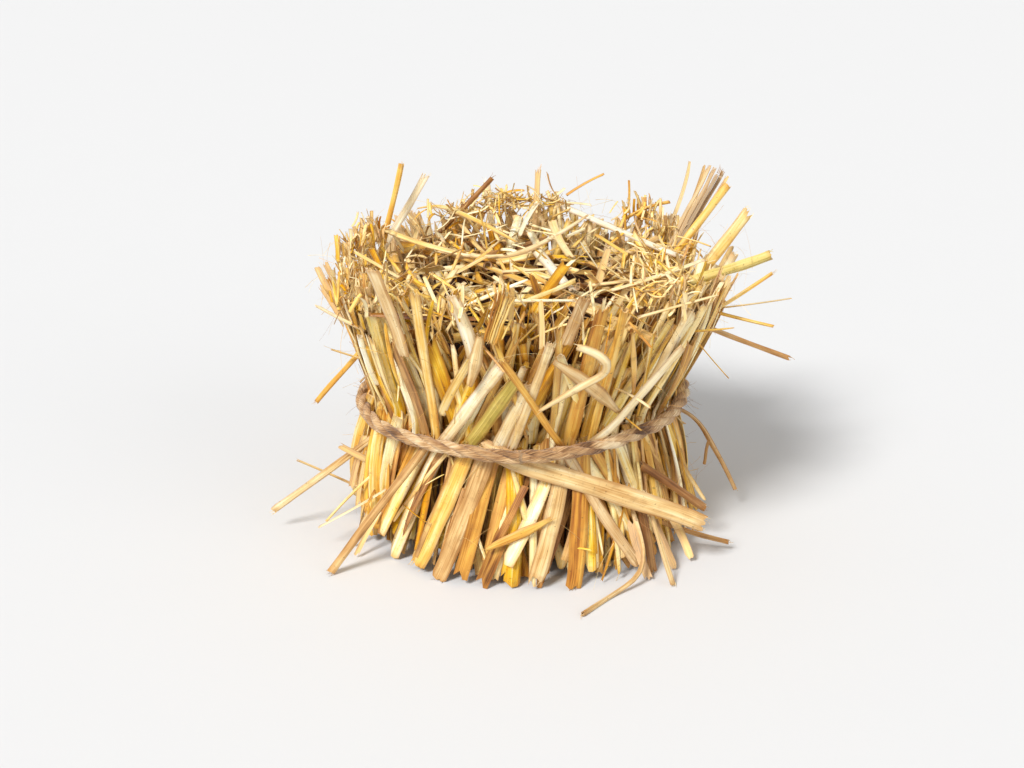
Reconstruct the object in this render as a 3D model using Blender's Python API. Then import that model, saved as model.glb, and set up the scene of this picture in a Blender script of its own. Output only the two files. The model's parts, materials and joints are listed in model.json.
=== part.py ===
# A short bundle of cut straw, tied round its waist with one turn of jute twine.
# The bundle stands on z = 0 with its middle on the Z axis. Lengths are metres, and the
# tables of stalks are in millimetres. A bearing is an angle round the Z axis in degrees:
# 0 faces the front (-Y) and 90 faces +X.

import math
import random
from collections import namedtuple

import bmesh
import bpy
from mathutils import Matrix, Vector
from mathutils.bvhtree import BVHTree

MM = 0.001

# Driving dimensions of the bundle
RIM_HEIGHT = 0.082
WAIST_HEIGHT = 0.040
WAIST_RADIUS = 0.0456
WAIST_SOFTNESS = 0.003
RIM_FLARE = 0.435
FOOT_FLARE = 0.177
SIDE_FLARE = 0.05
GAP = 0.0003

# Packed straw that fills the bundle under the separate stalks
PACK_SEED = 11
PACK_DEPTH = 0.0025
PACK_COLUMNS = 56
GROOVE_DEPTHS = (0.0009, 0.0022)
PACK_HEIGHTS = (0.0, 0.020, 0.033, 0.040, 0.047, 0.062)
CREST_NOTCH = 0.0045

# Rings of cut ends round the rim: inset from the outside, height over the rim, and spread
RIM_RINGS = (
    (0.0, 0.0000, 0.0030),
    (0.0045, -0.0035, 0.0010),
    (0.0095, -0.0005, 0.0028),
    (0.0150, -0.0045, 0.0010),
)
DISH_RINGS = ((0.030, -0.0065),)
DISH_DEPTH = 0.0080

# The rim is lower on the left, round this bearing and for about this many degrees each way
RIM_DIP = 0.0065
DIP_BEARING = -90
DIP_WIDTH = 28

# Straws half sunk in the dish, which grow out of the packed straw. The layers are the heights
# of the first and last one over the bottom of the dish, in thicknesses.
SUNK_STRAWS = 13
SUNK_LENGTHS = (0.022, 0.040)
SUNK_WIDTHS = (0.0022, 0.0042)
SUNK_THICKNESS = 0.0030
SUNK_REACH = 0.028
SUNK_TILT = 0.06
SUNK_LAYERS = (0.2, 1.1)

# Stalks, with the number of pieces that their paths are cut into
FLAT_THICKNESS = 0.0007
ROUND_SQUASH = 0.8
BORE_DEPTH = 0.003
BORE_SHARE = 0.55
FLAT_JAG = 0.22
ROUND_JAG = 0.06
LEAF_POINT = 0.3
LEAF_FULLNESS = 0.7
SHARP_ANGLE = 40
SETTLE_STEP = 0.0003
SETTLE_REACH = 0.012
WALL_PIECE_LENGTH = 0.010
LEAST_WALL_PIECES = 3
LEANING_PIECES = 3
CURLED_PIECES = 2
BENT_PIECES = 3

# Stray stalks turn by the first of these angles that leaves them clear of the others
STRAY_TURNS = (0, 1, -1, 2, -2, 3, -3, 4, -4, 5, -5, 6, -6, 7, -7, 8, -8)

# Twine. Its reach is probed at each station and at a few bearings on each side of it.
TWINE_DIAMETER = 0.0038
TWINE_SIDES = 8
TWINE_STATIONS = 54
TWINE_PROBES = 3
TWINE_TILT = 0.0012
KNOT_BEARING = 172
KNOT_HALF_SIZE = Vector((0.0052, 0.0032, 0.0038))
TAIL_DIAMETER = 0.0034
TAIL_BULGE = 0.002
TAIL_PIECES = 3
TAIL_ENDS = ((164, 5, 17), (179, 4, 20))

Tone = namedtuple("Tone", "colour roughness")
TONES = {
    "straw_pale": Tone((0.80, 0.62, 0.34), 0.50),
    "straw_gold": Tone((0.70, 0.45, 0.14), 0.45),
    "straw_tan": Tone((0.52, 0.35, 0.17), 0.60),
    "straw_brown": Tone((0.30, 0.17, 0.07), 0.65),
    "straw_green": Tone((0.55, 0.50, 0.16), 0.50),
    "straw_packed": Tone((0.48, 0.30, 0.11), 0.70),
    "jute_twine": Tone((0.45, 0.29, 0.15), 0.90),
}

# Stalks that lie on the wall and follow it, from the innermost layer outwards.
# Head and foot are (bearing, height).
WallStalk = namedtuple("WallStalk", "name tone form width head foot")
WALL_STALKS = (
    WallStalk("side_stalk_right", "straw_gold", "flat", 3.6, (74, 81), (78, 1)),
    WallStalk("side_stalk_right_rear", "straw_pale", "round", 2.8, (96, 81), (101, 2)),
    WallStalk("back_stalk_right", "straw_tan", "flat", 4.4, (131, 83), (121, 1)),
    WallStalk("back_stalk_middle", "straw_pale", "flat", 2.2, (191, 89), (186, 2)),
    WallStalk("back_stalk_left", "straw_gold", "flat", 4.8, (216, 82), (224, 1)),
    WallStalk("side_stalk_left_rear", "straw_tan", "flat", 3.4, (251, 80), (246, 1)),
    WallStalk("side_stalk_left", "straw_gold", "round", 2.6, (270, 75), (277, 2)),
    WallStalk("upper_split_tan", "straw_tan", "flat", 3.5, (-39.5, 70), (-38, 41)),
    WallStalk("upper_gold_left", "straw_gold", "flat", 3.2, (-26, 88), (-33, 41)),
    WallStalk("upper_pale_cut", "straw_pale", "flat", 3.8, (-16, 89), (-13, 71)),
    WallStalk("upper_gold_culm", "straw_gold", "round", 3.6, (-4, 91), (-8, 76)),
    WallStalk("upper_long_gold", "straw_gold", "flat", 4.1, (19, 85), (17, 41)),
    WallStalk("upper_long_culm", "straw_gold", "round", 2.4, (24, 85), (25.5, 41)),
    WallStalk("upper_short_pale", "straw_pale", "flat", 4.4, (2, 61), (-7.5, 41)),
    WallStalk("upper_right_culm", "straw_pale", "round", 2.2, (46, 80), (43, 58)),
    WallStalk("upper_broad_tan", "straw_tan", "flat", 4.8, (-36, 93), (-35.5, 68)),
    WallStalk("upper_brown_cut", "straw_brown", "flat", 3.5, (14, 89), (11, 76)),
    WallStalk("upper_tan_leaf", "straw_tan", "leaf", 4.2, (8, 71), (31, 51)),
    WallStalk("upper_slant_right", "straw_pale", "flat", 2.9, (44.5, 69), (28, 45)),
    WallStalk("upper_pale_leaf", "straw_pale", "leaf", 4.2, (-10, 78), (-15, 62)),
    WallStalk("upper_green_blade", "straw_green", "flat", 4.1, (-2, 63), (-15.5, 44)),
    WallStalk("lower_left_culm", "straw_gold", "round", 2.1, (-68, 38), (-64, 5)),
    WallStalk("lower_broad_gold", "straw_gold", "flat", 5.0, (-20, 38), (-35, 3)),
    WallStalk("lower_broad_tan", "straw_tan", "flat", 5.2, (-12.5, 38), (-27, 1)),
    WallStalk("lower_pale_gold", "straw_pale", "flat", 5.0, (14.5, 34), (5, 4)),
    WallStalk("lower_orange", "straw_gold", "flat", 5.4, (22, 34), (16, 1)),
    WallStalk("lower_weathered", "straw_brown", "flat", 3.2, (21, 30), (37, 4)),
    WallStalk("lower_gold_leaf", "straw_gold", "leaf", 3.4, (9, 21), (-11, 12)),
)

# Straight stalks that lean on the wall or stand away from it, from the innermost outwards.
# Head and foot are (bearing, height, distance out from the wall).
LeaningStalk = namedtuple("LeaningStalk", "name tone form width head foot")
LEANING_STALKS = (
    LeaningStalk("upper_slant_left", "straw_pale", "flat", 3.5, (-6, 68, 0), (-21.5, 48, 0)),
    LeaningStalk("upper_ribbon_foot", "straw_pale", "flat", 2.6, (7, 76, 0), (-2, 45, 0)),
    LeaningStalk("upper_thin_slant", "straw_gold", "flat", 2.0, (-5, 71, 0), (11.5, 44, 0)),
    LeaningStalk("lower_brown_foot", "straw_brown", "flat", 3.5, (44, 18, 0), (42, 1, 2)),
    LeaningStalk("lower_right_pale", "straw_pale", "flat", 2.1, (46.5, 21, 0), (41, 1, 11)),
    LeaningStalk("lower_brown_slant", "straw_brown", "round", 2.4, (48, 29, 0), (67, 12, 9)),
    LeaningStalk("lower_broad_straw", "straw_pale", "flat", 5.7, (3, 36, 0), (53, 15, 12)),
    LeaningStalk("lower_left_stray", "straw_tan", "round", 2.5, (-38, 36, 0), (-52, 1, 19.5)),
)

# A curled leaf that stands off the wall, as (bearing, height, distance out) along it
CURLED_LEAF = ((8, 76, 2), (12, 77, 4), (17, 75, 6), (20, 70, 7), (16, 66, 5), (10, 60, 3), (5, 55, 1))
CURLED_LEAF_WIDTH = 2.6

# Stalks that stick out, from a root inside the bundle to a free tip
FreeStalk = namedtuple("FreeStalk", "name tone form width points")
STRAY_STALKS = (
    FreeStalk("stray_top_left_culm", "straw_gold", "round", 1.7, ((-46, 20, 66), (-37, 24, 104))),
    FreeStalk("stray_top_left_pale", "straw_pale", "flat", 2.3, ((-45, 28, 74), (-30, 29, 99))),
    FreeStalk("stray_top_dark", "straw_brown", "round", 1.6, ((-34, 40, 70), (-10, 44, 95))),
    FreeStalk("stray_top_back", "straw_gold", "flat", 1.8, ((3, 49, 72), (5, 50, 96))),
    FreeStalk("stray_tall_split", "straw_tan", "flat", 5.4, ((43, 24, 70), (60, 30, 100))),
    FreeStalk("stray_tall_culm", "straw_gold", "round", 2.4, ((40, 13, 70), (61.5, 22, 98))),
    FreeStalk("stray_right_flat", "straw_gold", "flat", 3.6, ((44, -1, 66), (66, 8, 93))),
    FreeStalk("stray_right_culm", "straw_green", "round", 3.2, ((47, -2, 74), (72, -1, 83))),
    FreeStalk("stray_right_brown", "straw_brown", "round", 1.5, ((44, -14, 68), (77, -15, 54.5))),
    FreeStalk("stray_right_rising", "straw_gold", "round", 1.1, ((42, -9, 59), (71.5, -10, 80))),
    FreeStalk("stray_left_low", "straw_pale", "flat", 2.2, ((-39, -12, 33.5), (-75, -15, 7))),
    FreeStalk("stray_left_high", "straw_gold", "round", 1.5, ((-42, -10, 63), (-61, -10, 40))),
    FreeStalk("stray_right_foot", "straw_tan", "round", 1.5, ((36, -28, 11), (60.5, -28, 3))),
    FreeStalk(
        "stray_brown_stem",
        "straw_brown",
        "round",
        1.3,
        ((41, 3, 33), (51, 1, 32.5), (57.5, 0, 24.5), (66, 0, 7)),
    ),
    FreeStalk(
        "stray_on_the_ground",
        "straw_tan",
        "round",
        1.4,
        ((32, -36, 18), (35.5, -44, 9), (34, -49, 3.5), (27, -54, 0.9), (17.5, -66, 0.9)),
    ),
)

# Side shoots, by the stray stalk that they grow from
SHOOTS = {
    "stray_brown_stem": FreeStalk("shoot", "straw_brown", "round", 1.0, ((57.5, 0, 24.5), (56, -1, 16.5))),
}

# Loose straw that lies in the dish on top, from the lowest upwards
TOP_STRAWS = (
    FreeStalk("top_gold_flat", "straw_gold", "flat", 3.0, ((-25, 17, 78), (11, -28, 78))),
    FreeStalk("top_white_flat", "straw_pale", "flat", 3.6, ((4, 14, 79), (13, -26, 79))),
    FreeStalk("top_short_culm", "straw_pale", "round", 2.6, ((26, 7, 80), (41, 25, 83))),
    FreeStalk(
        "top_bent_ribbon",
        "straw_pale",
        "leaf",
        2.8,
        ((-25, 9, 80), (-6, 4, 80), (7, 17, 81), (20, 36, 84)),
    ),
    FreeStalk(
        "top_back_leaf",
        "straw_gold",
        "leaf",
        2.7,
        ((-34, 50, 84), (-26, 44, 86.5), (-13, 30, 85), (-2, 15, 83)),
    ),
    FreeStalk("top_broad_white", "straw_pale", "flat", 3.8, ((13, 52, 86), (45, 0, 85))),
)

FLAT_SECTION = ((-1, 0), (-0.6, 1), (0.6, 1), (1, 0), (0.6, -1), (-0.6, -1))
ROUND_SECTION = tuple((math.cos(math.tau * k / 8), math.sin(math.tau * k / 8)) for k in range(8))
JAGS = (0.9, -0.5, 0.7, -0.9, 0.4, -0.7, 0.8, -0.3)
FRONT = Vector((0, -1, 0))
UP = Vector((0, 0, 1))

# A closed mesh before it is an object: its corners, and its faces as indices of them
Body = namedtuple("Body", "corners faces")


def skin_radius(bearing, height):
    side = SIDE_FLARE * math.sin(math.radians(bearing))
    flare = side + (RIM_FLARE if height > WAIST_HEIGHT else FOOT_FLARE)
    return WAIST_RADIUS + flare * (math.hypot(height - WAIST_HEIGHT, WAIST_SOFTNESS) - WAIST_SOFTNESS)


def place(bearing, radius, height):
    angle = math.radians(bearing)
    return Vector((radius * math.sin(angle), -radius * math.cos(angle), height))


def outwards(point):
    return Vector((point.x, point.y, 0)).normalized()


# Points on a smooth curve through the given ones, with so many pieces between two of them
def smooth_path(points, pieces):
    last = len(points) - 1
    path = []
    for k in range(last):
        before = points[max(k - 1, 0)]
        start = points[k]
        end = points[k + 1]
        after = points[min(k + 2, last)]
        for step in range(pieces):
            t = step / pieces
            path.append(
                start
                + (end - before) * (t / 2)
                + (2 * before - 5 * start + 4 * end - after) * (t**2 / 2)
                + (3 * start - before - 3 * end + after) * (t**3 / 2)
            )
    path.append(points[last])
    return path


def path_tangents(path):
    last = len(path) - 1
    return [(path[min(k + 1, last)] - path[max(k - 1, 0)]).normalized() for k in range(last + 1)]


# Skins rings of corners, and closes each end on a middle point
def loft(rings, first_middle, last_middle):
    count = len(rings[0])
    corners = [corner for ring in rings for corner in ring]
    faces = []
    for start in range(0, len(corners) - count, count):
        for k in range(count):
            after = (k + 1) % count
            faces.append((start + k, start + after, start + count + after, start + count + k))
    top = len(corners) - count
    for k in range(count):
        after = (k + 1) % count
        faces.append((len(corners), after, k))
        faces.append((len(corners) + 1, top + k, top + after))
    return Body(corners + [first_middle, last_middle], faces)


def leaf_taper(share):
    return LEAF_POINT + (1 - LEAF_POINT) * math.sin(math.pi * share) ** LEAF_FULLNESS


# A stalk along a path, with its flat side turned to the facing direction at each point.
# With grow it is thicker and longer all round, with plain ends past its jagged ones, to test
# its clearance or to cut a socket.
def stalk_body(path, facings, form, width, grow=0.0):
    is_round = form == "round"
    section = ROUND_SECTION if is_round else FLAT_SECTION
    half_width = width / 2
    half_thickness = half_width * ROUND_SQUASH if is_round else FLAT_THICKNESS / 2
    jag = width * (ROUND_JAG if is_round else FLAT_JAG)
    tangents = path_tangents(path)
    last = len(path) - 1
    rings = []
    for k in range(last + 1):
        across = tangents[k].cross(facings[k]).normalized()
        up = across.cross(tangents[k])
        share = leaf_taper(k / last) if form == "leaf" else 1.0
        end = {0: -1, last: 1}.get(k, 0)
        ring = []
        for (u, v), tooth in zip(section, JAGS):
            corner = path[k] + across * (u * (half_width * share + grow))
            corner += up * (v * (half_thickness + grow))
            reach = grow + jag if grow else tooth * jag * share
            ring.append(corner + tangents[k] * (end * reach))
        rings.append(ring)
    middle_reach = grow + jag if grow else 0.0
    last_middle = path[last] + tangents[last] * middle_reach
    if is_round and not grow:
        mouth = [last_middle + (corner - last_middle) * BORE_SHARE for corner in rings[last]]
        rings.append(mouth)
        last_middle = last_middle - tangents[last] * BORE_DEPTH
        rings.append([corner - tangents[last] * BORE_DEPTH for corner in mouth])
    return loft(rings, path[0] - tangents[0] * middle_reach, last_middle)


def tree_of(body):
    return BVHTree.FromPolygons(body.corners, body.faces)


# Moves a stalk in from far off in small steps, and returns the last body that is clear of
# all the others. The given function makes the body for a distance and a growth.
def settle(body_at, trees):
    steps = round((SETTLE_REACH + PACK_DEPTH) / SETTLE_STEP)
    distance = SETTLE_REACH
    for k in range(steps):
        nearer = SETTLE_REACH - (k + 1) * SETTLE_STEP
        tree = tree_of(body_at(nearer, GAP))
        if any(tree.overlap(other) for other in trees):
            break
        distance = nearer
    return body_at(distance, 0.0)


def wall_stalk_body(stalk, distance, grow):
    head_bearing, head_height = stalk.head
    foot_bearing, foot_height = stalk.foot
    pieces = max(LEAST_WALL_PIECES, round((head_height - foot_height) * MM / WALL_PIECE_LENGTH))
    path = []
    for k in range(pieces + 1):
        share = k / pieces
        bearing = foot_bearing + (head_bearing - foot_bearing) * share
        height = (foot_height + (head_height - foot_height) * share) * MM
        path.append(place(bearing, skin_radius(bearing, height) + distance, height))
    facings = [outwards(point) for point in path]
    return stalk_body(path, facings, stalk.form, stalk.width * MM, grow)


def off_wall(bearing, height, out, distance):
    return place(bearing, skin_radius(bearing, height * MM) + out * MM + distance, height * MM)


def leaning_stalk_body(stalk, distance, grow):
    foot = off_wall(*stalk.foot, distance)
    head = off_wall(*stalk.head, distance)
    path = [foot.lerp(head, k / LEANING_PIECES) for k in range(LEANING_PIECES + 1)]
    facing = outwards(foot.lerp(head, 0.5))
    return stalk_body(path, [facing] * len(path), stalk.form, stalk.width * MM, grow)


def curled_leaf_body(distance, grow):
    path = smooth_path([off_wall(*point, distance) for point in CURLED_LEAF], CURLED_PIECES)
    facings = [outwards(point) for point in path]
    return stalk_body(path, facings, "leaf", CURLED_LEAF_WIDTH * MM, grow)


def free_path(stalk):
    points = [Vector(point) * MM for point in stalk.points]
    if len(points) == 2:
        start, end = points
        return [start, start.lerp(end, 0.5), end]
    return smooth_path(points, BENT_PIECES)


def top_straw_body(stalk, distance, grow):
    path = [point + UP * distance for point in free_path(stalk)]
    return stalk_body(path, [UP] * len(path), stalk.form, stalk.width * MM, grow)


# A stray stalk, turned a few degrees round the bundle to pass between its neighbours
def stray_body(stalk, turn, grow):
    turned = Matrix.Rotation(math.radians(turn), 3, "Z")
    path = [turned @ point for point in free_path(stalk)]
    return stalk_body(path, [FRONT] * len(path), stalk.form, stalk.width * MM, grow)


def free_turn(stalk, trees):
    for turn in STRAY_TURNS:
        tree = tree_of(stray_body(stalk, turn, GAP))
        if not any(tree.overlap(other) for other in trees):
            return turn
    raise RuntimeError(f"no clear place for {stalk.name}")


def rim_height(bearing):
    away = (bearing - DIP_BEARING + 180) % 360 - 180
    return RIM_HEIGHT - RIM_DIP * math.exp(-((away / DIP_WIDTH) ** 2))


# The packed straw: fluted walls, a rim of jagged cut ends, and a shallow dish on top
def packed_straw_body():
    chance = random.Random(PACK_SEED)
    count = 2 * PACK_COLUMNS
    bearings = [360 * k / count for k in range(count)]
    depths = [PACK_DEPTH + (k % 2) * chance.uniform(*GROOVE_DEPTHS) for k in range(count)]
    rings = []
    for height in PACK_HEIGHTS:
        ring = []
        for bearing, depth in zip(bearings, depths):
            ring.append(place(bearing, skin_radius(bearing, height) - depth, height))
        rings.append(ring)
    for inset, rise, spread in RIM_RINGS:
        ring = []
        for k, (bearing, depth) in enumerate(zip(bearings, depths)):
            height = rim_height(bearing) + rise + chance.uniform(-spread, spread)
            if k % 2 and rise > -spread:
                height -= CREST_NOTCH
            ring.append(place(bearing, skin_radius(bearing, height) - depth - inset, height))
        rings.append(ring)
    for radius, rise in DISH_RINGS:
        rings.append([place(bearing, radius, RIM_HEIGHT + rise) for bearing in bearings])
    return loft(rings, Vector((0, 0, 0)), Vector((0, 0, RIM_HEIGHT - DISH_DEPTH)))


# Straws strewn over the dish, each a little higher than the one before it
def sunk_straw_bodies():
    chance = random.Random(PACK_SEED)
    bodies = []
    lowest, highest = SUNK_LAYERS
    for number in range(SUNK_STRAWS):
        layer = lowest + (highest - lowest) * number / (SUNK_STRAWS - 1)
        middle = place(
            chance.uniform(0, 360),
            SUNK_REACH * math.sqrt(chance.random()),
            RIM_HEIGHT - DISH_DEPTH + SUNK_THICKNESS * layer,
        )
        half = chance.uniform(*SUNK_LENGTHS) / 2
        heading = place(chance.uniform(0, 360), half, chance.uniform(-SUNK_TILT, SUNK_TILT) * half)
        half_width = chance.uniform(*SUNK_WIDTHS) / 2
        across = heading.cross(UP).normalized() * half_width
        rise = UP * SUNK_THICKNESS / 2
        ring = (across - rise, across + rise, -across + rise, -across - rise)
        start = middle - heading
        end = middle + heading
        rings = [[start + corner for corner in ring], [end + corner for corner in ring]]
        bodies.append(loft(rings, start, end))
    return bodies


# How far out the stalks reach where the twine crosses them at a bearing
def reach_under_twine(bearing, height, trees):
    half = TWINE_DIAMETER / 2
    reach = WAIST_RADIUS - PACK_DEPTH
    for lift in (-half, -half / 2, 0.0, half / 2, half):
        start = place(bearing, WAIST_RADIUS + SETTLE_REACH, height + lift)
        for tree in trees:
            hit = tree.ray_cast(start, -outwards(start))[0]
            if hit:
                reach = max(reach, math.hypot(hit.x, hit.y))
    return reach


def tube_body(path, ups, diameter, closed):
    tangents = path_tangents(path)
    if closed:
        tangents[0] = (path[1] - path[-1]).normalized()
        tangents[-1] = (path[0] - path[-2]).normalized()
    rings = []
    for point, tangent, up in zip(path, tangents, ups):
        side = tangent.cross(up).normalized()
        rise = side.cross(tangent)
        ring = []
        for k in range(TWINE_SIDES):
            angle = math.tau * (k + 0.5) / TWINE_SIDES
            ring.append(point + (side * math.cos(angle) + rise * math.sin(angle)) * (diameter / 2))
        rings.append(ring)
    if not closed:
        return loft(rings, path[0], path[-1])
    corners = [corner for ring in rings for corner in ring]
    faces = []
    for k in range(len(corners)):
        start = k - k % TWINE_SIDES
        after = start + (k + 1) % TWINE_SIDES
        faces.append(
            (k, after, (after + TWINE_SIDES) % len(corners), (k + TWINE_SIDES) % len(corners))
        )
    return Body(corners, faces)


# The turn of twine, drawn tight over the stalks that stand out most under it
def twine_path(trees):
    bearings = [360 * k / TWINE_STATIONS for k in range(TWINE_STATIONS)]
    heights = [WAIST_HEIGHT + TWINE_TILT * math.sin(math.radians(b)) for b in bearings]
    reaches = []
    step = 360 / TWINE_STATIONS / (TWINE_PROBES + 1)
    offsets = [step * k for k in range(-TWINE_PROBES, TWINE_PROBES + 1)]
    for bearing, height in zip(bearings, heights):
        near = [reach_under_twine(bearing + offset, height, trees) for offset in offsets]
        reaches.append(max(near))
    count = len(reaches)
    spanned = [max(reaches[k - 1], reaches[k], reaches[(k + 1) % count]) for k in range(count)]
    path = []
    for k, (bearing, height) in enumerate(zip(bearings, heights)):
        smooth = (spanned[k - 1] + 2 * spanned[k] + spanned[(k + 1) % count]) / 4
        radius = max(smooth, reaches[k]) + TWINE_DIAMETER / 2 + GAP
        path.append(place(bearing, radius, height))
    return path


def tone_material(tone):
    found = bpy.data.materials.get(tone)
    if found:
        return found
    material = bpy.data.materials.new(tone)
    material.use_nodes = True
    shader = material.node_tree.nodes["Principled BSDF"]
    shader.inputs["Base Color"].default_value = (*TONES[tone].colour, 1)
    shader.inputs["Roughness"].default_value = TONES[tone].roughness
    shader.inputs["Metallic"].default_value = 0.0
    return material


def add_object(name, bodies, tone):
    mesh = bpy.data.meshes.new(name)
    corners = []
    faces = []
    for body in bodies:
        faces += [tuple(len(corners) + index for index in face) for face in body.faces]
        corners += body.corners
    mesh.from_pydata(corners, [], faces)
    bm = bmesh.new()
    bm.from_mesh(mesh)
    bmesh.ops.recalc_face_normals(bm, faces=bm.faces)
    bm.to_mesh(mesh)
    bm.free()
    mesh.materials.append(tone_material(tone))
    obj = bpy.data.objects.new(name, mesh)
    bpy.context.scene.collection.objects.link(obj)
    return obj


def add_boolean(obj, name, operation, bodies, tone):
    other = add_object(name, bodies, tone)
    other.hide_render = True
    other.display_type = "WIRE"
    boolean = obj.modifiers.new(name, "BOOLEAN")
    boolean.operation = operation
    boolean.solver = "EXACT"
    boolean.use_self = True
    boolean.object = other


def knot_body(centre):
    bm = bmesh.new()
    bmesh.ops.create_icosphere(bm, subdivisions=2, radius=1.0)
    shape = Matrix.Diagonal(KNOT_HALF_SIZE).to_4x4()
    turned = Matrix.Rotation(math.radians(KNOT_BEARING), 4, "Z")
    bm.transform(Matrix.Translation(centre) @ turned @ shape)
    corners = [vertex.co.copy() for vertex in bm.verts]
    faces = [tuple(vertex.index for vertex in face.verts) for face in bm.faces]
    bm.free()
    return Body(corners, faces)


def add_twine(trees):
    path = twine_path(trees)
    loop = tube_body(path, [UP] * len(path), TWINE_DIAMETER, True)
    twine = add_object("twine", [loop], "jute_twine")
    knot_place = place(KNOT_BEARING, WAIST_RADIUS, WAIST_HEIGHT)
    nearest = min(path, key=lambda point: (point - knot_place).length)
    radius = math.hypot(nearest.x, nearest.y)
    centre = place(KNOT_BEARING, radius + KNOT_HALF_SIZE.y / 2, WAIST_HEIGHT)
    add_boolean(twine, "knot_shape", "UNION", [knot_body(centre)], "jute_twine")
    for number, (bearing, out, height) in enumerate(TAIL_ENDS):
        end = place(bearing, radius + out * MM, height * MM)
        middle = centre.lerp(end, 0.5) + outwards(end) * TAIL_BULGE
        tail_path = smooth_path([centre, middle, end], TAIL_PIECES)
        facings = [outwards(point) for point in tail_path]
        tail = tube_body(tail_path, facings, TAIL_DIAMETER, False)
        add_boolean(twine, f"tail_shape_{number}", "UNION", [tail], "jute_twine")


def shade_round(obj):
    obj.data.shade_smooth()
    obj.data.set_sharp_from_angle(angle=math.radians(SHARP_ANGLE))


def build():
    for obj in list(bpy.data.objects):
        bpy.data.objects.remove(obj)

    packed = packed_straw_body()
    sunk = sunk_straw_bodies()
    trees = [tree_of(packed)]
    settled = []

    for stalk in WALL_STALKS:
        body = settle(lambda distance, grow: wall_stalk_body(stalk, distance, grow), trees)
        settled.append((stalk, body))
        trees.append(tree_of(body))
    for stalk in LEANING_STALKS:
        body = settle(lambda distance, grow: leaning_stalk_body(stalk, distance, grow), trees)
        settled.append((stalk, body))
        trees.append(tree_of(body))
    for stalk, body in settled:
        obj = add_object(stalk.name, [body], stalk.tone)
        if stalk.form == "round":
            shade_round(obj)

    leaf = settle(curled_leaf_body, trees)
    add_object("upper_curled_leaf", [leaf], "straw_pale")
    trees.append(tree_of(leaf))

    add_twine(trees)

    loose_trees = trees[1:]
    sockets = []
    for stalk in STRAY_STALKS:
        turn = free_turn(stalk, loose_trees)
        body = stray_body(stalk, turn, 0.0)
        obj = add_object(stalk.name, [body], stalk.tone)
        shade_round(obj)
        sockets.append(stray_body(stalk, turn, GAP))
        loose_trees.append(tree_of(body))
        trees.append(tree_of(body))
        if stalk.name in SHOOTS:
            shoot = SHOOTS[stalk.name]
            add_boolean(obj, "shoot", "UNION", [stray_body(shoot, turn, 0.0)], shoot.tone)

    trees += [tree_of(body) for body in sunk]
    for stalk in TOP_STRAWS:
        body = settle(lambda distance, grow: top_straw_body(stalk, distance, grow), trees)
        add_object(stalk.name, [body], stalk.tone)
        trees.append(tree_of(body))

    straw = add_object("packed_straw", [packed], "straw_packed")
    add_boolean(straw, "sunk_straws", "UNION", sunk, "straw_packed")
    add_boolean(straw, "sockets", "DIFFERENCE", sockets, "straw_packed")


build()
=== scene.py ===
import heapq
import json
import math
import random

import bmesh
import bpy
import numpy as np
from mathutils import Matrix, Vector

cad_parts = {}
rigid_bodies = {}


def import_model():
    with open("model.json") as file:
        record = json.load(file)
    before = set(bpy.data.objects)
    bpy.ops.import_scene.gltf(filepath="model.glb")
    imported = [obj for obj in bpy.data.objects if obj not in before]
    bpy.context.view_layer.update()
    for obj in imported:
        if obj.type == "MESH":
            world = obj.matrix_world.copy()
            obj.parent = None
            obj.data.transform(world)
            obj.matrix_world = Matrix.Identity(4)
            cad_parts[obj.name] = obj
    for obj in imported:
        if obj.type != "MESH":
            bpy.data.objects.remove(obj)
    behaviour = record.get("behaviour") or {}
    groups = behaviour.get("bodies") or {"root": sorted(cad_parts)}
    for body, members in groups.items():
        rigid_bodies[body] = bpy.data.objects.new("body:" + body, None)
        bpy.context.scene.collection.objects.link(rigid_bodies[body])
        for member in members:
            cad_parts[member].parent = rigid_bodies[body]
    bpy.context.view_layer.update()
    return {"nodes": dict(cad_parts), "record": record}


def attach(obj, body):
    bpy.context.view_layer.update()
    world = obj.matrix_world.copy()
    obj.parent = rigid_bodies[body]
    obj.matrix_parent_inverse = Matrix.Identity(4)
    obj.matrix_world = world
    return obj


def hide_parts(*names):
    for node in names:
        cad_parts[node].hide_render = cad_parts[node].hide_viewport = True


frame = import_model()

# A small tied bundle of cut straw: hundreds of packed stalks round a dark middle that is painted shade,
# the stalks that stand out, loose straw on top, fine fibres, and one turn of jute twine.
# Everything is in metres on the imported frame: z = 0 is the table, and -Y is the photo's side.

mm = 0.001
lowest = 0.1 * mm  # no corner is nearer to the table
sharpAngle = math.radians(45)
nodes = frame["nodes"]
slotOf = {part["node"]: part["material_slot"] for part in frame["record"]["subparts"]}
few = 1.0  # share of the small pieces that is made

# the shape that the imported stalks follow: a soft waist under the twine, flaring both ways
bundle = {
    "waistHeight": 0.040,
    "waistRadius": 0.0452,
    "waistSoftness": 0.003,
    "rimFlare": 0.435,
    "footFlare": 0.177,
    "sideFlare": 0.05,
    "rimFrom": 0.056,  # a stalk whose head is over this height reaches the rim
    "rimDip": 0.0065,
    "dipSharpness": 6.0,
}


def linear(hexColour):
    parts = [int(hexColour[k:k + 2], 16) / 255 for k in (1, 3, 5)]
    return [p / 12.92 if p <= 0.04045 else ((p + 0.055) / 1.055) ** 2.4 for p in parts] + [1.0]


# adds a node with its settings and links, and returns the output asked for
def addNode(tree, kind, inputs=None, out=0, **settings):
    made = tree.nodes.new(kind)
    for name, value in settings.items():
        setattr(made, name, value)
    for key, value in (inputs or {}).items():
        socket = made.inputs[key]
        if isinstance(value, bpy.types.NodeSocket):
            tree.links.new(value, socket)
        else:
            socket.default_value = value
    return made.outputs[out]


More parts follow.
